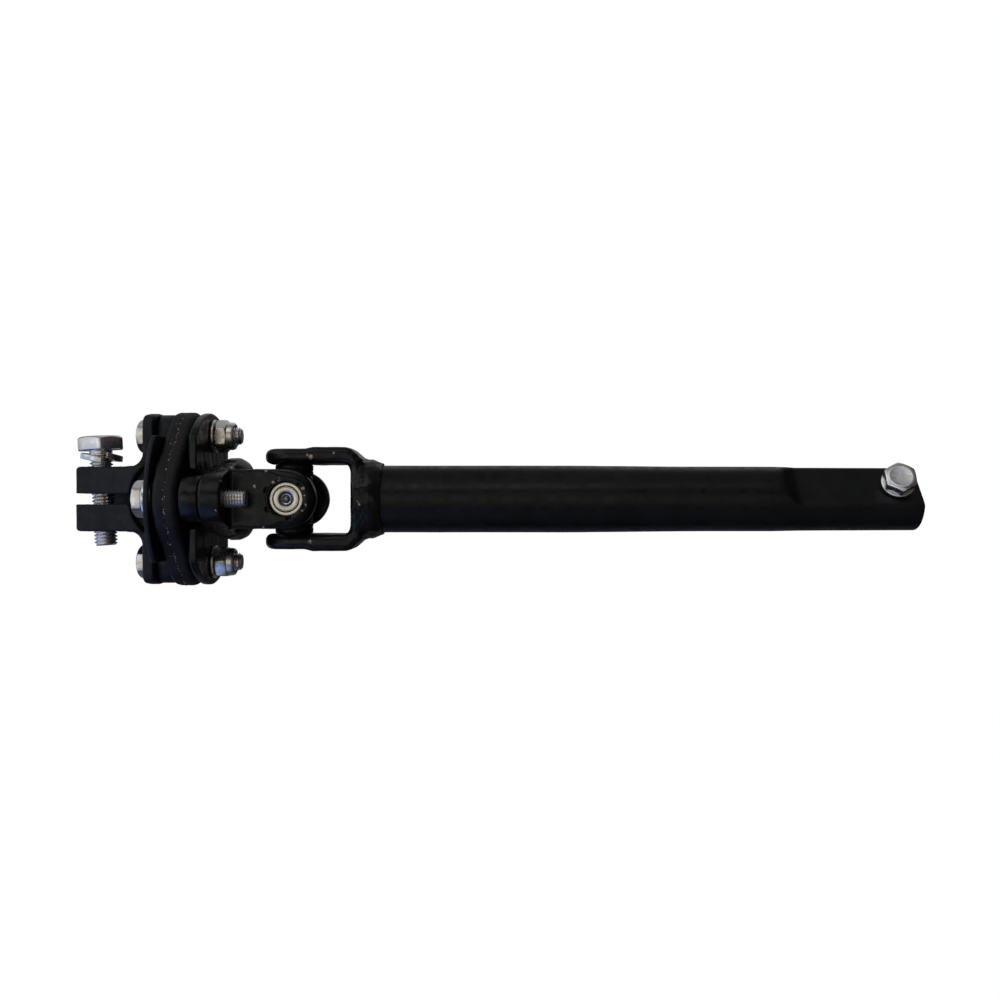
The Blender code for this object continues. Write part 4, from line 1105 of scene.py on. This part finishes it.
def lobe(tree, direction, toward, low, high, colour):
    """Light of a colour from round a direction, fading from high to low of the cosine."""
    axis = Vector(toward).normalized()
    dot = add_node(tree, "VectorMath", {0: direction, 1: axis}, operation="DOT_PRODUCT").outputs["Value"]
    share = remap(tree, dot, low, high)
    return mix(tree, share, (0, 0, 0), colour)


def light_world():
    """Soft studio light: a ceiling, a window on the left, a low blue bounce, and white to the camera."""
    world = bpy.data.worlds.new("studio")
    bpy.context.scene.world = world
    world.use_nodes = True
    tree = world.node_tree
    tree.nodes.clear()
    direction = add_node(tree, "TexCoord").outputs["Generated"]
    lobes = [
        ((0.0, 0.80, 0.60), 0.76, 0.97, (0.42, 0.42, 0.43)),
        ((0.0, 0.80, -0.60), 0.75, 0.97, (0.08, 0.08, 0.10)),
        ((-0.80, 0.60, 0.0), 0.80, 0.97, (0.34, 0.50, 0.68)),
        ((0.0, -0.10, 1.0), 0.50, 0.98, (0.14, 0.145, 0.155)),
        ((-0.10, -0.64, 0.76), 0.925, 0.99, (0.74, 0.75, 0.77)),
        ((-0.75, -0.20, 0.60), 0.80, 0.97, (0.60, 0.61, 0.63)),
        ((-1.0, -0.50, 0.10), 0.70, 0.95, (0.38, 0.40, 0.44)),
        ((-0.46, -0.89, 0.05), 0.95, 0.99, (0.70, 0.71, 0.72)),
        ((-0.60, -0.45, -0.66), 0.80, 0.97, (0.24, 0.38, 0.90)),
        ((0.0, -1.0, 0.03), 0.91, 0.99, (0.54, 0.50, 0.42)),
        ((0.10, -0.70, -0.70), 0.60, 0.97, (0.09, 0.09, 0.085)),
        ((0.8, -0.5, 0.3), 0.80, 0.98, (0.06, 0.03, 0.03)),
    ]
    total = None
    for toward, low, high, colour in lobes:
        light = lobe(tree, direction, toward, low, high, colour)
        if total is None:
            total = light
        else:
            total = add_node(tree, "VectorMath", {0: total, 1: light}, operation="ADD").outputs[0]
    total = add_node(tree, "VectorMath", {0: total, 1: (0.02, 0.02, 0.023)}, operation="ADD").outputs[0]
    studio = add_node(tree, "Background", {"Color": total})
    white = add_node(tree, "Background", {"Color": (1, 1, 1, 1)})
    camera = add_node(tree, "LightPath").outputs["Is Camera Ray"]
    shader = add_node(tree, "MixShader", {0: camera, 1: studio.outputs[0], 2: white.outputs[0]})
    output = add_node(tree, "OutputWorld")
    tree.links.new(shader.outputs[0], output.inputs["Surface"])


def pale_floor():
    """Floor well below the shaft, white to the camera, that takes no part in the reflections."""
    mesh = bpy.data.meshes.new("floor")
    half, low = 3.0, -0.45
    mesh.from_pydata([(-half, -half, low), (half, -half, low), (half, half, low), (-half, half, low)], [],
                     [(0, 1, 2, 3)])
    floor = bpy.data.objects.new("floor", mesh)
    bpy.context.scene.collection.objects.link(floor)
    material = bpy.data.materials.new("floor_white")
    material.use_nodes = True
    tree = material.node_tree
    tree.nodes.clear()
    glow = add_node(tree, "Emission", {"Color": (1, 1, 1, 1), "Strength": 1.0})
    output = add_node(tree, "OutputMaterial")
    tree.links.new(glow.outputs[0], output.inputs["Surface"])
    mesh.materials.append(material)
    floor.visible_glossy = False
    floor.visible_diffuse = False
    floor.visible_shadow = False


CAMERA_AWAY = 0.495
CAMERA_ALONG = 92.475
CAMERA_LENS = 39.6


def add_camera():
    """Camera level with the shaft, looking straight at its middle."""
    data = bpy.data.cameras.new("camera")
    data.lens = CAMERA_LENS
    data.sensor_width = 36.0
    data.clip_start = 0.01
    camera = bpy.data.objects.new("camera", data)
    bpy.context.scene.collection.objects.link(camera)
    camera.location = (CROSS.x + CAMERA_ALONG * MM, -CAMERA_AWAY, -0.00045)
    camera.rotation_euler = (math.pi / 2, 0, 0)
    bpy.context.scene.camera = camera


def build():
    hub_paint = black_paint("hub_paint", (0.0080, 0.0095, 0.0135), 0.46, 0.32, 0.00006)
    yoke_paint = black_paint("yoke_paint", (0.0050, 0.0050, 0.0050), 0.27, 0.28, 0.00009, 0.8)
    tube_paint = black_paint("tube_paint", (0.0048, 0.0049, 0.0048), 0.36, 0.26, 0.00004, 0.25)
    zinc = zinc_plate("zinc_bright")
    warm_zinc = zinc_plate("zinc_warm", 0.75, 0.3)
    steel = ground_steel()
    rubber = corded_rubber()
    seal = seal_rubber()
    insert = nylon()

    clamp_hub(hub_paint)
    pinch_bolt(zinc)
    pinch_spring_washer(zinc)
    hub_fasteners(warm_zinc, warm_zinc, hub_paint, insert)
    rear_stop_bar(yoke_paint)
    coupling_disc(rubber, cord_ends())
    front_stop_plate(hub_paint)
    yoke_fasteners(zinc, yoke_paint)
    flange_yoke(yoke_paint)
    bearing("front", -Y_AXIS, Z_AXIS, steel, seal)
    bearing("back", Y_AXIS, Z_AXIS, steel, seal)
    bearing("top", Z_AXIS, X_AXIS, steel, seal)
    bearing("bottom", -Z_AXIS, X_AXIS, steel, seal)
    cross(steel)
    tube_yoke(yoke_paint)
    shaft_tube(tube_paint)
    tube_bolt(zinc)
    for where in ("front", "back", "top", "bottom"):
        node = frame["nodes"][f"needle_ring_{where}"]
        node.data.materials.clear()
        node.data.materials.append(steel)

    light_world()
    pale_floor()
    add_camera()
    bpy.context.scene.view_settings.view_transform = "Standard"


build()
